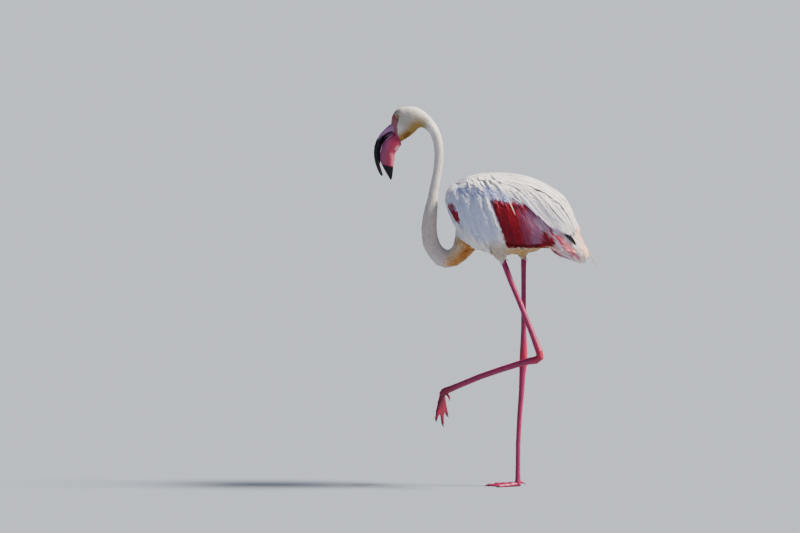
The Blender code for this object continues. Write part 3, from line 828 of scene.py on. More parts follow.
# %% Bill halves
BILL_GRAIN = 0.9 * MM
BILL_BASE = np.array([(-343.7, 980.4), (-320.8, 930.2)]) * MM  # the line on which head and bill meet
BILL_ROOT = 5 * MM  # how far the horn reaches back under the skin
bill = {}
base_line = unit(BILL_BASE[1] - BILL_BASE[0])
rearwards = np.array([-base_line[1], base_line[0]])
for half in ("upper", "lower"):
    piece = fused("bill_horn_" + half, ["bill_" + half], 0.8 * MM, BILL_GRAIN, 24)
    points = points_of(piece)
    behind = (points[:, [0, 2]] - BILL_BASE[0]) @ rearwards  # m
    shift = smooth_step(behind, -3 * MM, -0.5 * MM) * BILL_ROOT
    points[:, [0, 2]] += shift[:, None] * rearwards
    put_points(piece, points)
    bill[half] = piece
    print(piece.name, "faces:", len(piece.data.polygons))

# %% The nostril, the ridge and the ribs of the bill
def groove(points, line, width, depth):
    """How far each point sinks for a slit along a line of the side view, on both sides. All in mm."""
    away, _ = along_line(side_on(points), line)
    on_side = smooth_step(np.abs(points[:, 1]) / MM, 3, 7)
    return depth * np.exp(-((away / width) ** 2)) * on_side


NOSTRIL = [(-350, 967), (-363, 955)]
UPPER_RIDGE = [(-366, 953), (-384, 915)]
LOWER_RIM = [(-332, 957), (-345, 951), (-356, 943), (-365, 932), (-371, 920), (-374, 903), (-373, 887)]
RIB_PITCH = 2.6  # mm; the real ribs are under 1 mm apart, and are drawn as coarse as they need to show
RIB_DEPTH = 0.4  # mm
points, outwards = points_of(bill["upper"]), normals_of(bill["upper"])
sunk = groove(points, NOSTRIL, 1.3, 1.0) + groove(points, UPPER_RIDGE, 1.6, 0.5)
put_points(bill["upper"], points - outwards * sunk[:, None] * MM)

points, outwards = points_of(bill["lower"]), normals_of(bill["lower"])
away, down = along_line(side_on(points), LOWER_RIM)
wave = 0.5 - 0.5 * np.cos(2 * math.pi * down / RIB_PITCH)
ribs = RIB_DEPTH * wave * smooth_step(away, 1.2, 2.4) * (1 - smooth_step(away, 4, 9))
put_points(bill["lower"], points - outwards * ribs[:, None] * MM)
print("ribs along the lower edge:", round(down.max() / RIB_PITCH))

# %% Colours of the bill
# The black band along the lid's edge widens from a point: half width, and x and z of both ends, in mm.
BLACK_BAND = [
    (1.6, (-341, 960.5), (-347, 957.5)), (3.2, (-347, 957.5), (-354, 952.0)),
    (4.8, (-354, 952.0), (-364, 944.5)), (5.8, (-364, 944.5), (-378, 927.0)),
]
MOUTH_EDGE = [(-340, 951), (-349, 945), (-362, 935), (-368, 926), (-372, 905)]  # pale pink rim of the lower half, lightened with a painted highlight
LID_EDGE = [(-374, 926), (-375.5, 900), (-374.5, 876), (-368, 850)]  # and of the upper half, near its tip


def bill_colours(points, half):
    """Lilac pink, rose and black, and a few painted highlights, from place alone."""
    flat = side_on(points)
    x, z = flat[:, 0], flat[:, 1]
    if half == "upper":
        tone = brushed(linear("AC78A2"), flat, [("A8718F", [(-334, 958), (-350, 954), (-362, 946)], 4, 6)])
        band = np.max([stroke(flat, ends, width, 2) for width, *ends in BLACK_BAND], axis=0)
        tone = painted(tone, linear("060406"), band)
        tone = painted(tone, linear("070507"), smooth_step(-(x * 0.35 + z), -814, -800))
        return brushed(tone, flat, [("A87A84", LID_EDGE, 1.4, 1.5)], 0.8)
    tone = painted(linear("9A486E"), linear("B03A58"), smooth_step(x - 0.25 * (z - 900), -366, -344))
    # Painted highlights on the lower half: a streak on its side and a spot on the chin.
    tone = brushed(tone, flat, [
        ("DC7084", [(-341, 900), (-338, 885), (-339, 873)], 3, 5),
        ("E6A0AE", [(-324, 920), (-329, 913)], 2.5, 4),
    ])
    tone = brushed(tone, flat, [("F0D2D8", MOUTH_EDGE, 1.2, 1.2)], 0.95)
    return painted(tone, linear("070508"), smooth_step(-(z + 0.25 * (x + 350)), -871, -866))


print("tip of the upper half:", bill_colours(np.array([[-0.37, 0.0, 0.86]]), "upper").round(3).tolist())

# %% Horn
# Horn: grown keratin in thin layers, polished by wear. A satin gloss, with fine growth lines.
horn, tree = new_material("horn of the bill")
place = add(tree, "TexCoord").outputs["Object"]
layers = add(tree, "TexNoise", {"Vector": place, "Scale": 1 / (2.2 * MM), "Detail": 4.0, "Roughness": 0.6})
mottle = add(tree, "TexNoise", {"Vector": place, "Scale": 1 / (9 * MM), "Detail": 2.0})
deeper = add(tree, "MixRGB", {
    "Fac": mottle.outputs["Fac"], "Color1": (1, 1, 1, 1), "Color2": rgba("D9C8CE"),
})
toned = add(tree, "MixRGB", {
    "Fac": 1.0, "Color1": add(tree, "Attribute", attribute_name="marking").outputs["Color"],
    "Color2": deeper.outputs["Color"],
}, blend_type="MULTIPLY")
gloss = add(tree, "MapRange", {"Value": layers.outputs["Fac"], "To Min": 0.24, "To Max": 0.42})
relief = add(tree, "Bump", {"Height": layers.outputs["Fac"], "Distance": 0.15 * MM, "Strength": 0.5})
shader = add(tree, "BsdfPrincipled", {
    "Base Color": toned.outputs["Color"],
    "Roughness": gloss.outputs["Result"],
    "Specular IOR Level": 0.22,
    "Coat Weight": 0.06,
    "Coat Roughness": 0.15,
    "Normal": relief.outputs["Normal"],
})
add(tree, "OutputMaterial", {"Surface": shader.outputs["BSDF"]})
for half, piece in bill.items():
    put_colours(piece, bill_colours(points_of(piece), half))
    piece.data.materials.append(horn)
    select_only(piece)
    bpy.ops.object.shade_smooth()
    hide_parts("bill_" + half)
    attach(piece, "root")
print("made:", horn.name)

# %% [markdown]
# Between the two halves lies the comb with which the bird sieves its food: hundreds of thin plates that hang
# from the edge of the upper half. It is modelled as one closed bar in the mouth with a rib for each plate.

# %% The comb in the mouth
# The line of the mouth: x, z, half height and half width, mm.
MOUTH_LINE = np.array([
    (-331, 959, 3.4, 11.0), (-344, 953.2, 4.8, 12.0), (-355, 947.2, 6.0, 12.0), (-364.5, 938.5, 6.6, 11.5),
    (-371, 926, 6.2, 11.0), (-374.4, 911, 5.2, 10.0), (-375.6, 896, 4.2, 9.0), (-374.8, 884, 3.0, 7.5),
    (-373.2, 874, 1.6, 5.5),
], float)
COMB_PITCH = 1.2  # mm, coarser than the real plates so that they show


def cut(place, normal):
    """Cuts the whole piece that is being edited along a plane."""
    bpy.ops.mesh.select_all(action="SELECT")
    bpy.ops.mesh.bisect(plane_co=place, plane_no=normal)


def mouth(down, column):
    return np.interp(down, mouth_run, MOUTH_LINE[:, column])


mouth_run = run_along(MOUTH_LINE[:, :2])
slices = int(mouth_run[-1] / COMB_PITCH * 4)
select_only()
bpy.ops.mesh.primitive_cube_add(size=1)
comb = named("bill_comb")
bpy.ops.object.mode_set(mode="EDIT")
for i in range(1, slices):
    cut((i / slices - 0.5, 0, 0), (1, 0, 0))
for height in (-0.25, 0.0, 0.25):
    cut((0, 0, height), (0, 0, 1))
bpy.ops.object.mode_set(mode="OBJECT")
flat = points_of(comb)
down = (flat[:, 0] + 0.5) * mouth_run[-1]
middle_x, middle_z, tall, wide = (mouth(down, column) for column in range(4))
ahead = unit(np.column_stack([mouth(down + 2, column) - mouth(down - 2, column) for column in (0, 1)]))
rib = 0.26 * np.cos(2 * math.pi * down / COMB_PITCH)
width = (wide + rib) * (1 - 0.25 * (2 * np.abs(flat[:, 2])) ** 2)
across = np.sign(flat[:, 1]) * width
# Upwards in the cube is towards the upper half of the bill.
put_points(comb, np.column_stack([
    middle_x + ahead[:, 1] * flat[:, 2] * 2 * tall, across, middle_z - ahead[:, 0] * flat[:, 2] * 2 * tall,
]) * MM)
tone = painted(linear("4A2438"), linear("060406"), smooth_step(flat[:, 2], -0.45, -0.3))
by_hinge = 1 - smooth_step(down, 18, 34)  # there the plates end, and mauve skin lines the mouth
put_colours(comb, painted(tone, linear("8A4C70"), by_hinge))
comb.data.materials.append(horn)
bpy.ops.object.shade_smooth_by_angle(angle=math.radians(50))
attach(comb, "root")
print("comb faces:", len(comb.data.polygons))

# %% [markdown]
# ## The eyes and the claws
# The eye is a ball with a yellow iris, darkened by painted shade, round a small black pupil, under a clear
# wet cornea. Most of the ball is inside the head, and the lids close round it. The claws are short and blunt,
# of black horn.

# %% Eyes
def plain_material(name, colours, **inputs):
    """Two tones of one substance, mixed by a fine grain."""
    made, tree = new_material(name)
    place = add(tree, "TexCoord").outputs["Object"]
    grain = add(tree, "TexNoise", {"Vector": place, "Scale": 1 / (0.7 * MM), "Detail": 3.0})
    varied = add(tree, "MixRGB", {
        "Fac": grain.outputs["Fac"], "Color1": rgba(colours[0]), "Color2": rgba(colours[1]),
    })
    shader = add(tree, "BsdfPrincipled", {"Base Color": varied.outputs["Color"], **inputs})
    add(tree, "OutputMaterial", {"Surface": shader.outputs["BSDF"]})
    return made


# The cornea is a clear wet coat over the iris and the pupil.
# The iris is painted darker than a flamingo's pale yellow, as painted shade.
iris = plain_material("iris, yellow in painted shade", ("B8984C", "8E6C2E"), Roughness=0.3, **{"Coat Weight": 1.0})
pupil = plain_material("pupil", ("050505", "0A0808"), Roughness=0.1, **{"Coat Weight": 1.0})
PUPIL_SHARE = math.cos(math.radians(17))  # the pupil ends at this angle from the axis of the eye
CORNEA_RISE = 0.5 * MM
for side in OUTWARDS:
    ball = eye_shell("eyeball_" + side, side, EYE_RADIUS, 32)
    points = points_of(ball)
    rise = smooth_step(facing(points, side), 0.85, 1.0) * CORNEA_RISE
    put_points(ball, points + np.array(gaze(side)) * rise[:, None])
    ball.data.materials.append(iris)
    ball.data.materials.append(pupil)
    in_pupil = facing(centres_of(ball), side) > PUPIL_SHARE
    ball.data.polygons.foreach_set("material_index", in_pupil.astype(np.int32))
    bpy.ops.object.shade_smooth()
    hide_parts("eye_" + side)
    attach(ball, "root")
    print(ball.name, "faces:", len(ball.data.polygons))

# %% Claws
claw_horn = plain_material("claw horn, black", ("1A1718", "2C2426"), Roughness=0.38, IOR=1.55)
for name in sorted(nodes):
    if name.startswith("claw_"):
        claw = merged_copy(name.replace("claw", "nail"), name)
        apply_modifier(claw, "SUBSURF", levels=2, render_levels=2)
        claw.data.materials.append(claw_horn)
        bpy.ops.object.shade_smooth()
        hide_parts(name)
        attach(claw, "root")
        print(claw.name, "faces:", len(claw.data.polygons))

# %% [markdown]
# ## One feather
# A feather is a vane on a shaft: narrow at its root, widest past the middle, with a round or pointed tip. It
# starts as a cone with four sides that is cut across a few times. Each cut is then widened to the outline of
# the vane, and when the feather is laid its height is pressed down to a few tenths of a millimetre, which
# leaves a thin closed blade with the shaft as its ridge. Every feather of the bird is a copy of these few.

# %% Vane templates
def vane(name, outline):
    """A feather of length 1 along +Y. The outline is pairs of share along and half width, up to the tip."""
    select_only()
    root_width = outline[0][1]
    bpy.ops.mesh.primitive_cone_add(
        vertices=4, radius1=root_width, radius2=0, depth=1, location=(0, 0.5, 0),
        rotation=(-math.pi / 2, 0, 0),
    )
    piece = named(name)
    bpy.ops.object.mode_set(mode="EDIT")
    for share, _ in outline[1:]:
        cut((0, share, 0), (0, 1, 0))
    bpy.ops.object.mode_set(mode="OBJECT")
    points = points_of(piece)
    for share, half_width in outline[1:]:
        ring = np.abs(points[:, 1] - share) < 1e-4
        points[ring, 0] *= half_width / np.abs(points[ring, 0]).max()
        points[ring, 2] *= 1 / np.abs(points[ring, 2]).max() * root_width
    put_points(piece, points)
    mesh = piece.data
    starts, totals = np.empty((2, len(mesh.polygons)), np.int32)
    mesh.polygons.foreach_get("loop_start", starts)
    mesh.polygons.foreach_get("loop_total", totals)
    corner = np.empty(len(mesh.loops), np.int32)
    mesh.loops.foreach_get("vertex_index", corner)
    shares = np.array([0.0] + [share for share, _ in outline[1:]] + [1.0])
    row = np.abs(points[:, 1][:, None] - shares[None]).argmin(1)
    made = {
        "across": points[:, 0], "along": shares[row], "up": points[:, 2] / root_width, "row": row,
        "shares": shares, "starts": starts, "totals": totals, "corner": corner,
        "triangles": int((totals - 2).sum()),
    }
    bpy.data.objects.remove(piece)
    print(name, "vane:", made["triangles"], "triangles")
    return made


SHORT_VANE = vane("short", [(0, 0.16), (0.32, 0.42), (0.62, 0.50), (0.86, 0.34)])
BODY_VANE = vane("body", [(0, 0.12), (0.25, 0.36), (0.55, 0.50), (0.80, 0.44), (0.93, 0.24)])
LONG_VANE = vane("long", [
    (0, 0.12), (0.12, 0.28), (0.28, 0.42), (0.45, 0.50), (0.6, 0.50), (0.74, 0.42), (0.87, 0.26),
])

# %% [markdown]
# ## What a feather is made of
# A vane is made of hundreds of barbs that leave the shaft at a slant and hook into each other. They give it
# a fine herringbone and a silky sheen along the barbs. The colour comes from the markings.

# %% Plumage material
def plumage(name, barb_mm, contrast, sheen, roughness):
    """Barbs slant away from the shaft. Real ones are about 0.4 mm apart and are drawn coarser to show."""
    made, tree = new_material(name)
    apart = add(tree, "SeparateXYZ", {"Vector": add(tree, "UVMap", uv_map="barbs").outputs["UV"]})
    slant = add(tree, "Math", {0: apart.outputs["X"], 1: 0.9}, operation="MULTIPLY")
    run = add(tree, "Math", {0: apart.outputs["Y"], 1: slant.outputs[0]}, operation="SUBTRACT")
    wave = add(tree, "Math", {0: run.outputs[0], 1: 2 * math.pi / barb_mm}, operation="MULTIPLY")
    barbs = add(tree, "Math", {0: wave.outputs[0]}, operation="SINE")
    height = add(tree, "MapRange", {"Value": barbs.outputs[0], "From Min": -1.0}).outputs["Result"]
    shaft = add(tree, "MapRange", {
        "Value": apart.outputs["X"], "From Max": 0.45, "To Min": 1.12, "To Max": 1.0,
    })
    marking = add(tree, "Attribute", attribute_name="marking").outputs["Color"]
    low = 1 - contrast  # how light the lines between the barbs are
    between = add(tree, "MixRGB", {
        "Fac": height, "Color1": (low, low, low, 1), "Color2": (1, 1, 1, 1),
    })
    lined = add(tree, "MixRGB", {
        "Fac": 1.0, "Color1": marking, "Color2": between.outputs["Color"],
    }, blend_type="MULTIPLY")
    paler = add(tree, "VectorMath", {0: lined.outputs["Color"], "Scale": shaft.outputs["Result"]},
                operation="SCALE")
    relief = add(tree, "Bump", {"Height": height, "Distance": 0.12 * MM, "Strength": 0.5})
    shader = add(tree, "BsdfPrincipled", {
        "Base Color": paler.outputs["Vector"],
        "Roughness": roughness,
        "Specular IOR Level": 0.25,
        "Sheen Weight": sheen,
        "Sheen Roughness": 0.4,
        "Normal": relief.outputs["Normal"],
    })
    add(tree, "OutputMaterial", {"Surface": shader.outputs["BSDF"]})
    print("finish:", name)
    return made


fine_plumage = plumage("feathers of the head, fine vane", 0.55, 0.03, 0.08, 0.8)
soft_plumage = plumage("contour feathers, soft vane", 1.1, 0.06, 0.08, 0.8)
silky_plumage = plumage("long plumes and coverts, silky vane", 1.4, 0.12, 0.06, 0.65)

# %% [markdown]
# ## Laying feathers on the skin
# Roots are strewn over a stretch of skin at an even distance. From each root a path runs over the skin along
# the flow, and the feather is laid on that path, its root at the skin and its tip at the top of the coat, so
# that each one covers the roots of the next, as tiles do.

# %% Roots
def onto_skin(points):
    """The nearest place on the skin to each point, and the way out of the skin there."""
    found = [skin_tree.find_nearest(p) for p in points.tolist()]
    places = np.array([hit[0] for hit in found])
    outwards = unit(skin_normals[corners[[hit[2] for hit in found]]].mean(1))
    return places, outwards


def scattered(wanted, spacing):
    """Places on the skin at least the spacing apart, in mm, where wanted(points) is true."""
    triangle = skin_points[corners]
    one, two = triangle[:, 1] - triangle[:, 0], triangle[:, 2] - triangle[:, 0]
    area = np.linalg.norm(np.cross(one, two), axis=1) / 2
    middles = triangle.mean(1)
    against = (unit(skin_normals[corners].mean(1)) * flow(middles)).sum(1)
    area = area * wanted(middles) * (against < 0.6)  # none where the skin faces along the flow
    # Far more places are drawn than have room, and those too near to an earlier one are dropped.
    count = int(area.sum() / (spacing * MM) ** 2 * 2.4)
    picked = random.choice(len(area), count, p=area / area.sum())
    first, second = random.random((2, count))
    over = first + second > 1
    first[over], second[over] = 1 - first[over], 1 - second[over]
    places = triangle[picked, 0] + first[:, None] * one[picked] + second[:, None] * two[picked]
    tree = search_tree(places)
    free = np.ones(count, bool)
    kept = []
    for i, p in enumerate(places.tolist()):
        if free[i]:
            kept.append(i)
            for _, j, _ in tree.find_range(p, spacing * MM):
                free[j] = False
    return places[kept]


print("triangles of skin to lay feathers on:", len(corners))

# %% Paths over the skin
DOWNWARDS = np.array([0.0, 0.0, -1.0])
# How far the skin ahead may turn away before a feather leaves it, as a cosine.
STIFF, SOFT = 0.86, 0.45


def laid(headings, outwards):
    """Headings turned along the skin. Where the skin faces the flow nearly head on, feathers hang down."""
    flat = headings - (headings * outwards).sum(1, keepdims=True) * outwards
    hanging = DOWNWARDS - (outwards @ DOWNWARDS)[:, None] * outwards
    left = np.linalg.norm(flat, axis=1, keepdims=True)
    hangs = (left < 0.55) & (np.linalg.norm(hanging, axis=1, keepdims=True) > 0.55)
    return unit(np.where(hangs, hanging, np.where(left < 0.15, headings, flat)))


def along_skin(roots, lengths, shares, turn=0.0, follow=0.6, headings=None, stiffness=STIFF):
    """Paths over the skin from the roots, with a point at each share of the length. Where the skin falls away
    too sharply, the path goes straight on, as a stiff feather does. Lengths are in mm."""
    place, outwards = onto_skin(roots)
    heading = laid(flow(place) if headings is None else headings, outwards)
    side = np.cross(outwards, heading)
    turn = np.broadcast_to(turn, len(roots))[:, None]
    heading = unit(heading * np.cos(turn) + side * np.sin(turn))
    places, ups, headings = [place], [outwards], [heading]
    for step in np.diff(shares):
        ahead = place + heading * (lengths * MM * step)[:, None]
        found, found_up = onto_skin(ahead)
        stays = ((unit(found - place) * heading).sum(1) > stiffness)[:, None]
        place = np.where(stays, found, ahead)
        outwards = np.where(stays, unit(outwards + found_up), outwards)
        wanted = heading * (1 - follow) + flow(place) * follow
        heading = np.where(stays, laid(wanted, outwards), unit(wanted))
        places.append(place)
        ups.append(outwards)
        headings.append(heading)
    return np.stack(places, 1), np.stack(ups, 1), np.stack(headings, 1)


path = along_skin(np.array([[0.0, 0.0, 0.85]]), np.array([40.0]), [0, 0.5, 1])
print("a path of 40 mm over the back, m:", path[0][0].round(3).tolist())

# %% The coat's map
# Each piece of the coat gets a map of its whole surface, on which the body is opened out flat.
def body_unwrap(points):
    """The skin of the body opened out: along the bird, and round it."""
    x, z = points[:, 0] / MM, points[:, 2] / MM
    middle = np.interp(x, [-200, 0, 100, 190], [765, 745, 715, 625])
    return np.column_stack([x - 0.4 * z, np.arctan2(points[:, 1] / MM, z - middle)])


def neck_unwrap(points):
    """The skin of head and neck opened out: down the neck, and round it."""
    down, _, _, around = neck_place(points)
    return np.column_stack([down, around])


print("behind the head on the map:", neck_unwrap(np.array([[-0.26, 0.0, 1.02]])).round(2).tolist())

# %% [markdown]
# Thousands of feathers are far too many to copy one by one with operators. So the corners of one vane are
# multiplied out over all the paths at once, and the result becomes one mesh, with the colours and the two
# maps that its material and its surface need.

# %% From one vane to a coat
PATCH = 0.003  # the width of one feather in the map of the whole piece
coat_triangles = {}


def lay(name, template, paths, widths, depth, thickness, colours, rise=0.0, roll=0.0, cup=0.08,
        unwrap=body_unwrap, finish=silky_plumage):
    """Makes one piece of copies of the vane, one on each path. Widths, depth, thickness and rise are in mm:
    depth is how high the tips stand over the skin, and rise how high the roots do. Colours are one for each
    feather, for its root and its tip. Roll and cup say how the vane leans and bows."""
    places, ups, headings = paths
    count, row = len(places), template["row"]
    sides = unit(np.cross(ups, headings))
    roll = np.broadcast_to(roll, count)[:, None, None]
    leaning = unit(sides + ups * roll)
    lifts = rise + (np.broadcast_to(depth, count)[:, None] - rise) * template["shares"][None] ** 0.8
    across = template["across"][None] * np.broadcast_to(widths, count)[:, None]
    cupped = -cup * np.abs(across) * (np.abs(template["across"]) / 0.5)[None]
    thinning = (1 - 0.7 * template["along"])[None]
    height = template["up"][None] * thickness / 2 * thinning + lifts[:, row] + cupped
    points = places[:, row] + (leaning[:, row] * across[..., None] + ups[:, row] * height[..., None]) * MM
    mesh = bpy.data.meshes.new(name)
    size = len(row)
    corner = (template["corner"][None] + np.arange(count)[:, None] * size).ravel()
    starts = (template["starts"][None] + np.arange(count)[:, None] * len(template["corner"])).ravel()
    mesh.vertices.add(count * size)
    mesh.vertices.foreach_set("co", points.ravel())
    mesh.loops.add(len(corner))
    mesh.loops.foreach_set("vertex_index", corner.astype(np.int32))
    mesh.polygons.add(len(starts))
    mesh.polygons.foreach_set("loop_start", starts.astype(np.int32))
    mesh.update(calc_edges=True)
    piece = bpy.data.objects.new(name, mesh)
    bpy.context.scene.collection.objects.link(piece)

    root_colours, tip_colours = colours
    share = smooth_step(template["along"], 0.35, 0.9)[None, :, None]
    tone = root_colours[:, None] * (1 - share) + tip_colours[:, None] * share
    put_colours(piece, tone.reshape(-1, 3))

    # The barbs' own map, in mm: across from the shaft, and along it.
    lengths = np.linalg.norm(np.diff(places, axis=1), axis=2).sum(1) / MM
    barbs = np.stack([np.abs(across), template["along"][None] * lengths[:, None]], -1).reshape(-1, 2)
    layer = mesh.uv_layers.new(name="barbs")
    layer.data.foreach_set("uv", barbs[corner].ravel())
    # The map of the whole piece: each feather is a small patch at the place of its root, inside a margin.
    flat = unwrap(places[:, 0])
    low, high = flat.min(0), flat.max(0)
    middle = 0.004 + 0.992 * (flat - low) / np.maximum(high - low, 1e-6)
    patch = np.column_stack([template["across"], 0.8 * (template["along"] - 0.5) + 0.1 * template["up"]])
    patches = (middle[:, None] + patch[None] * PATCH).reshape(-1, 2)
    layer = mesh.uv_layers.new(name="OFBake")
    layer.data.foreach_set("uv", patches[corner].ravel())

    mesh.materials.append(finish)
    select_only(piece)
    bpy.ops.object.shade_smooth_by_angle(angle=math.radians(50))
    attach(piece, "root")
    coat_triangles[name] = template["triangles"] * count
    print(f"{name}: {count} feathers, {coat_triangles[name]} triangles")


print("corners of one long feather:", len(LONG_VANE["row"]))

# %% No two feathers alike
def varied(colours, light=0.04, warm=0.01, stain=0.0):
    """Each feather a little lighter or darker, and warmer or cooler, than the next. Stained ones differ more,
    by the stain's amount where the colour is strong."""
    count = len(colours)
    strong = 1 - colours.min(1, keepdims=True) / colours.max(1, keepdims=True)
    tone = 1 + random.normal(0, 1, (count, 1)) * (light + stain * strong)
    tone = tone + random.normal(0, warm, (count, 1)) * np.array([[1, 0, -1]])
    return np.clip(colours * np.maximum(tone, 0.2), 0, 0.95)


# %% [markdown]
# ## Head and neck
# The smallest feathers of the bird lie on its head, like scales, and they grow longer down the neck. Each
# stretch is one piece, laid with one size of feather.

# %% Head and neck feathers
HEAD_LENGTH = 95.0  # along the middle line, mm


def head_skin(points):
    down, _, ratio, _ = neck_place(points)
    return (down < HEAD_LENGTH) & (ratio < 1.7) & ~bare_face(points)


def neck_skin(low, high):
    def wanted(points):
        down, _, _, _ = neck_place(points)
        return (down >= low) & (down < high) & (neck_share(points) > 0.5)
    return wanted


def coat(name, roots, template, length, width, depth, thickness=0.25, jitter=0.16, follow=0.6, stain=0.0,
         unwrap=body_unwrap, finish=soft_plumage):
    """The usual coat: feathers of about one size on the roots, coloured by the markings under their tips."""
    count = len(roots)
    lengths = length * random.uniform(0.85, 1.15, count)
    turn = random.normal(0, jitter, count)
    paths = along_skin(roots, lengths, template["shares"], turn, follow, stiffness=SOFT)
    tip_colours = varied(markings(paths[0][:, -2]), 0.035, 0.01, stain)
    root_colours = varied(markings(paths[0][:, 1]), 0.01) * 0.94
    widths = width * random.uniform(0.85, 1.15, count)
    lay(name, template, paths, widths, depth, thickness, (root_colours, tip_colours),
        roll=random.normal(0, 0.10, count), unwrap=unwrap, finish=finish)


coat("feathers_head", scattered(head_skin, 1.45), SHORT_VANE, 4.6, 1.9, 1.0, thickness=0.2, stain=0.12,
     unwrap=neck_unwrap, finish=fine_plumage)
# Name, stretch of the neck, spacing, length and width, in mm: they grow towards the body.
NECK_PARTS = [
    ("feathers_neck_upper", HEAD_LENGTH, 330, 2.0, 8.0, 2.8, 2.0),
    ("feathers_neck_middle", 330, 540, 2.3, 10.0, 3.3, 2.4),
    ("feathers_neck_base", 540, line_starts[-1] + 1, 3.0, 15.0, 4.2, 3.6),
]
for name, low, high, spacing, length, width, depth in NECK_PARTS:
    coat(name, scattered(neck_skin(low, high), spacing), SHORT_VANE, length, width, depth, stain=0.28,
         unwrap=neck_unwrap)

# %% [markdown]
# ## The body
# The breast and the flanks wear short soft feathers. Below the long plumes of the back shows the folded
# wing: a panel of narrow crimson coverts, and behind it the tips of its long feathers. On the back the
# scapulars are drawn out to long loose points that hang over the wing and give the bird its shaggy edge.

# %% Stretches of the body
# The lower border of the white plumes that hang over the wing, x and z in mm.
plume_edge = line_through([
    (-165, 828), (-140, 832), (-106, 806), (-80, 822), (-49, 802), (-8, 788), (22, 763), (54, 736),
    (73, 716), (100, 702), (126, 692), (150, 696), (200, 700),
])
WING_END = 92.0  # where the tips of the long feathers start, mm
BELLY, THIGH_TOP = 626.0, 632.0  # heights at which the body's feathers end and the thighs' ones start, mm


def on_body(points, low, high):
    x, z = points[:, 0] / MM, points[:, 2] / MM
    return (x >= low) & (x < high) & (neck_share(points) <= 0.5) & (z > BELLY)


def panel_roots(points):
    """Where the crimson coverts are rooted: the panel, and a little in front of and above it."""
    flat = side_on(points)
    lifted = flat + np.array([5.0, -16.0])
    return (np.abs(points[:, 1]) > 25 * MM) & (np.maximum(inside_panel(flat), inside_panel(lifted)) > 0.4)


def tip_roots(points):
    return on_body(points, WING_END - 25, 220)


def breast_skin(points):
    return on_body(points, -220, -85) & ~panel_roots(points)


def flank_skin(points):
    return on_body(points, -85, WING_END - 25) & ~panel_roots(points)


THIGH_BOXES = [np.array(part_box("thigh_" + side)) for side in ("left", "right")]


def thigh_skin(points):
    """On the thighs, below the belly."""
    inside = [((points > low - 3 * MM) & (points < high + 3 * MM)).all(1) for low, high in THIGH_BOXES]
    return np.logical_or(*inside) & (points[:, 2] < THIGH_TOP * MM)


def back_skin(points):
    """Where the long plumes are rooted: the back, above their own lower border."""
    x, z = points[:, 0] / MM, points[:, 2] / MM
    return on_body(points, -160, 120) & (z > plume_edge(x) + 14)


print("share of the skin under plumes:", round(float(back_skin(skin_points).mean()), 3))

# %% Breast, flanks and thighs
def shorter_below(roots):
    """The share of their length that feathers keep towards the belly, where they are short."""
    return np.interp(roots[:, 2] / MM, [640, 710], [0.5, 1.0])


for name, wanted, spacing, length in [
    ("feathers_breast", breast_skin, 3.6, 30), ("feathers_flank", flank_skin, 3.8, 33),
]:
    roots = scattered(wanted, spacing)
    short = shorter_below(roots)
    coat(name, roots, BODY_VANE, length * short, 7.2 * short**0.5, 2.4 + 2.4 * short, jitter=0.10,
         stain=0.12)
roots = scattered(thigh_skin, 2.6)
lengths = np.clip(roots[:, 2] / MM - 602, 3, 12)  # they end where the bare leg starts, at 602 mm
coat("feathers_thigh", roots, SHORT_VANE, lengths, 3.4, 1.7, jitter=0.12, follow=0.3)

# %% [markdown]
# Most borders in a folded wing are the ends of feathers: the white plumes end along a ragged line, the
# crimson coverts on a straight one, and the tips of the wing along its lower outline. So these feathers are
# grown over the skin until they reach their border, and a little on, each by a different length.

# %% Feathers that end on a border
OFF_SKIN = 5.0  # a feather ends where its path is this far off the skin, mm


def grown(roots, template, border, most, spare, limits, turn=0.0, headings=None, follow=0.35,
          stiffness=SOFT):
    """Paths of feathers that grow from the roots over the skin until they cross the border, and on by the
    spare length. Their lengths stay between the limits. All lengths are in mm."""
    dense = np.linspace(0, 1, 25)
    whole = along_skin(roots, np.full(len(roots), most), dense, turn, follow, headings, stiffness)
    x, z = whole[0][..., 0] / MM, whole[0][..., 2] / MM
    nearest = onto_skin(whole[0].reshape(-1, 3))[0].reshape(whole[0].shape)
    off = np.linalg.norm(nearest - whole[0], axis=2) > OFF_SKIN * MM
    below = (z < border(x)) | off
    below[:, -1] = True
    lengths = np.clip(most * dense[below.argmax(1)] + spare, *limits)
    wanted = np.minimum(lengths[:, None] * template["shares"] / most, 1.0) * (len(dense) - 1)
    before = np.minimum(wanted.astype(int), len(dense) - 2)
    share = (wanted - before)[..., None]
    row = np.arange(len(roots))[:, None]
    places, ups, headings = (
        part[row, before] * (1 - share) + part[row, before + 1] * share for part in whole
    )
    return places, unit(ups), unit(headings)


# %% The lower front edge of the body, over the base of the neck
collar_edge = line_through([
    (-174, 696), (-160, 682), (-150, 674), (-138, 664), (-126, 656), (-112, 646), (-88, 634),
])
COLLAR_DEPTH = 7.0  # mm, over the feathers of the neck


def collar_skin(points):
    x, z = points[:, 0] / MM, points[:, 2] / MM
    above = z - collar_edge(x)
    return (x > -176) & (x < -84) & (above > 3) & (above < 30) & (np.abs(points[:, 1]) > 14 * MM)


roots = scattered(collar_skin, 3.4)
count = len(roots)
headings = np.tile(unit(np.array([0.42, 0.0, -0.9])), (count, 1))
paths = grown(roots, BODY_VANE, collar_edge, 44.0, random.uniform(-2, 4, count), (10, 32),
              random.normal(0, 0.08, count), headings, 0.0)
tones = varied(np.tile(linear("E9E2DC"), (count, 1)))
lay("feathers_collar", BODY_VANE, paths, 6.5 * random.uniform(0.85, 1.15, count), COLLAR_DEPTH, 0.25,
    (tones, tones), 1.5, random.normal(0, 0.08, count), finish=soft_plumage)

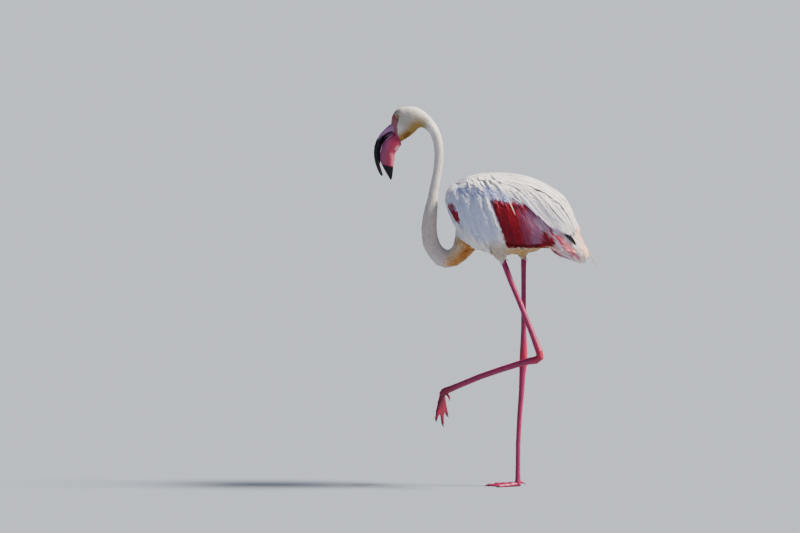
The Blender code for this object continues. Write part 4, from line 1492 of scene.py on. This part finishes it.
# %% Crimson coverts
covert_edge = line_through([(0, 653)])  # the lowest of them end at this height, mm
roots = scattered(panel_roots, 3.8)
count = len(roots)
paths = grown(roots, LONG_VANE, covert_edge, 48.0, random.uniform(-4, 3, count), (10, 42),
              random.normal(0, 0.05, count), stiffness=0.8)
tones = varied(markings(paths[0][:, 4]), 0.12, 0.04)
lay("feathers_wing_coverts", LONG_VANE, paths, 5.6 * random.uniform(0.8, 1.15, count), 4.2, 0.25,
    (tones * 0.75, tones), 0.6, random.normal(0, 0.06, count))

# %% The long feathers behind the panel
# The lower outline of tail and wing tips, x and z in mm.
tail_edge = line_through([(60, 655), (73, 648), (113, 629), (154, 610), (176, 608), (200, 640)])
roots = scattered(tip_roots, 4.0)
count = len(roots)
most = 50 * random.uniform(0.8, 1.2, count)
paths = grown(roots, LONG_VANE, tail_edge, 60.0, random.uniform(-2, 14, count), (12, most),
              random.normal(0, 0.06, count), stiffness=0.75)
tones = varied(markings(paths[0][:, 5]), 0.05, 0.03)
whiter = random.uniform(0, 0.45, (count, 1))
tones = tones * (1 - whiter) + linear(WHITE) * whiter
# Some of them are salmon or mauve along their whole length, which makes streaks between the pale ones.
streak = random.random(count)[:, None]
tones = np.where(streak < 0.14, tones * 0.4 + linear("E0685E") * 0.6, tones)
tones = np.where(streak > 0.88, tones * 0.4 + linear("B894B0") * 0.6, tones)
lay("feathers_wing_tips", LONG_VANE, paths, 5.2 * random.uniform(0.8, 1.2, count), 3.4, 0.3,
    (tones * 0.92, tones), 0.4, random.normal(0, 0.06, count))

# %% Plumes of the back
def smaller_in_front(roots, smallest):
    """The share of their size that plumes have from the front of the back, where they are smallest."""
    return np.interp(roots[:, 0] / MM, [-165, -95], [smallest, 1.0])


roots = scattered(back_skin, 5.6)
count = len(roots)
turn = random.normal(0, 0.07, count)
paths = grown(roots, LONG_VANE, plume_edge, 165.0, random.uniform(-6, 8, count), (26, 150), turn)
in_painted_shade = (random.random((count, 1)) < 0.24) * 1.0  # these lie deeper, and are darkened with painted lilac shade
tones = varied(markings(paths[0][:, 4]), 0.045) * (1 - in_painted_shade * (1 - linear("BDB4CA")))
size = smaller_in_front(roots, 0.4)
# The roots of the plumes are tinted with painted lilac shade, which shows in the gaps between them.
lay("plumes_back", LONG_VANE, paths, 6.8 * size * random.uniform(0.75, 1.2, count),
    (7.8 - 1.8 * in_painted_shade[:, 0]) * (0.4 + 0.6 * size), 0.35, (tones * linear("D6CDDF"), tones),
    0.5, random.normal(0, 0.14, count), 0.16)

# %% Loose strands
roots = scattered(back_skin, 7.6)
count = len(roots)
turn = random.normal(0, 0.16, count)
paths = grown(roots, LONG_VANE, plume_edge, 165.0, random.uniform(-6, 10, count), (30, 150), turn)
tones = varied(markings(paths[0][:, 2]), 0.02)
lay("plumes_strands", LONG_VANE, paths, 2.8 * random.uniform(0.6, 1.3, count),
    9.0 * smaller_in_front(roots, 0.5), 0.4, (tones * 0.95, tones), 0.5, random.normal(0, 0.2, count))

# %% [markdown]
# A few feathers are placed one by one: the tips of the black primaries, which show behind the folded wing,
# two strands that have slid down over it, and a wisp that hangs free behind the rump. Two more rows lend the
# outline its points: cream ones at the end of the tail, and white ones that hang over the shoulder.

# %% Single feathers
def on_sides(all_x, all_z, sides):
    """Places on the outer faces of the skin, on the left (-1) or right (1) side; x and z in mm."""
    places = []
    for x, z, side in zip(all_x, all_z, sides):
        hit = skin_tree.ray_cast(Vector((x * MM, side * 0.3, z * MM)), Vector((0, -side, 0)))[0]
        places.append(hit or skin_tree.find_nearest(Vector((x * MM, side * 0.02, z * MM)))[0])
    return np.array(places)


# Each: colour, x and z of the root, heading (x, z), length and width, mm.
PRIMARIES = [
    ("0A080C", (122, 693), (0.77, -0.64), 56, 7.2),
    ("0A080C", (124, 698), (0.75, -0.66), 50, 5.0),
    ("121016", (121, 688), (0.79, -0.61), 47, 4.5),
]
STRANDS = [
    ("F6F1EA", (-44, 808), (0.42, -0.90), 82, 2.2),
    ("F6F1EA", (-30, 792), (0.94, -0.34), 52, 2.4),
]
# Each row of them has its sides of the bird, and the heights of its roots and tips over the skin, in mm.
for name, feathers, on, rise, depth in [
    ("single_primary", PRIMARIES, (-1, 1), 4.8, 6.8), ("single_strand", STRANDS, (-1,), 7.0, 8.5),
]:
    rows = [(side, *feather) for feather in feathers for side in on]
    sides, colours, places, directions, lengths, widths = zip(*rows)
    headings = unit(np.array([(x, 0, z) for x, z in directions], float))
    paths = along_skin(on_sides(*zip(*places), sides), np.array(lengths, float), LONG_VANE["shares"],
                       follow=0.15, headings=headings)
    tones = np.array([linear(colour) for colour in colours])
    lay(name, LONG_VANE, paths, np.array(widths), depth, 0.4, (tones, tones), rise)

# %% The wisp behind the rump
SAG_TO = np.array([0.8, 0.0, 0.6])  # rearwards and up


def hanging(roots, tips, outwards, sag):
    """Paths from the roots to the tips, free of the skin, which bow out by the sag. All in mm."""
    along = LONG_VANE["shares"][None, :, None]
    places = roots[:, None] + along * (tips - roots)[:, None] + along * (1 - along) * 4 * sag * SAG_TO
    return places * MM, np.repeat(outwards[:, None], along.size, 1), unit(np.gradient(places, axis=1))


paths = hanging(np.array([[164, -12, 664.0]]), np.array([[216, -16, 588.0]]), np.array([[0, -1.0, 0]]), 5.0)
tones = linear("F3E9DE")[None]
lay("single_wisp", LONG_VANE, paths, 5.2, 0.0, 0.4, (tones, tones), unwrap=neck_unwrap)

# %% Cream points at the end of the tail
# Where their tips hang, from below to behind, x and z in mm.
TAIL_TIPS = np.array([(158, 604), (170, 601), (180, 603), (188, 610), (193, 620)])


def in_pairs(count):
    """Shares from 0 to 1 for feathers in pairs, and their sides: left (-1) and right (1)."""
    return np.repeat(np.linspace(0, 1, count // 2), 2), np.tile([-1, 1], count // 2)


count = 22
share, sides = in_pairs(count)
rows = np.arange(len(TAIL_TIPS))
tip_x, tip_z = (np.interp(share * rows[-1], rows, TAIL_TIPS[:, k]) for k in (0, 1))
tip_z = tip_z + random.normal(0, 2, count)
lengths = random.uniform(26, 40, count)
slant = 0.42 + random.normal(0, 0.06, count)
roots = on_sides(tip_x - lengths * slant, tip_z + lengths * np.sqrt(1 - slant**2), sides) / MM
tips = np.column_stack([tip_x, roots[:, 1] * random.uniform(0.55, 0.95, count), tip_z])
outwards = np.column_stack([np.zeros(count), sides, np.zeros(count)])
tones = varied(np.tile(linear("F6E6D2"), (count, 1)), 0.05, 0.02)
lay("plumes_tail", LONG_VANE, hanging(roots, tips, outwards, 1.5), random.uniform(3.2, 5.2, count), 3.6, 0.4,
    (tones, tones), 1.5, random.normal(0, 0.2, count))

# %% White points over the shoulder
# The line on which they are rooted runs between these places, x and z in mm.
POINTS_FROM, POINTS_TO = (-131, 833), (-78, 836)
count = 60
share, sides = in_pairs(count)
root_x = POINTS_FROM[0] + share * (POINTS_TO[0] - POINTS_FROM[0]) + random.normal(0, 5, count)
root_z = POINTS_FROM[1] + share * (POINTS_TO[1] - POINTS_FROM[1]) + random.normal(0, 4, count)
headings = unit(np.column_stack([0.15 + 0.3 * share, 0.6 * sides, -np.ones(count)]))
paths = along_skin(on_sides(root_x, root_z, sides), random.uniform(30, 66, count), LONG_VANE["shares"],
                   random.normal(0, 0.14, count), 0.1, headings)
# Painted light: they are a brighter white than the rest of the plumage.
tones = varied(np.tile(linear("FAF8F5"), (count, 1)), 0.02)
lay("plumes_shoulder", LONG_VANE, paths, random.uniform(2.8, 5.6, count), 9.0, 0.4, (tones, tones), 1.0,
    0.5 * sides + random.normal(0, 0.25, count))
print("coat triangles:", sum(coat_triangles.values()))
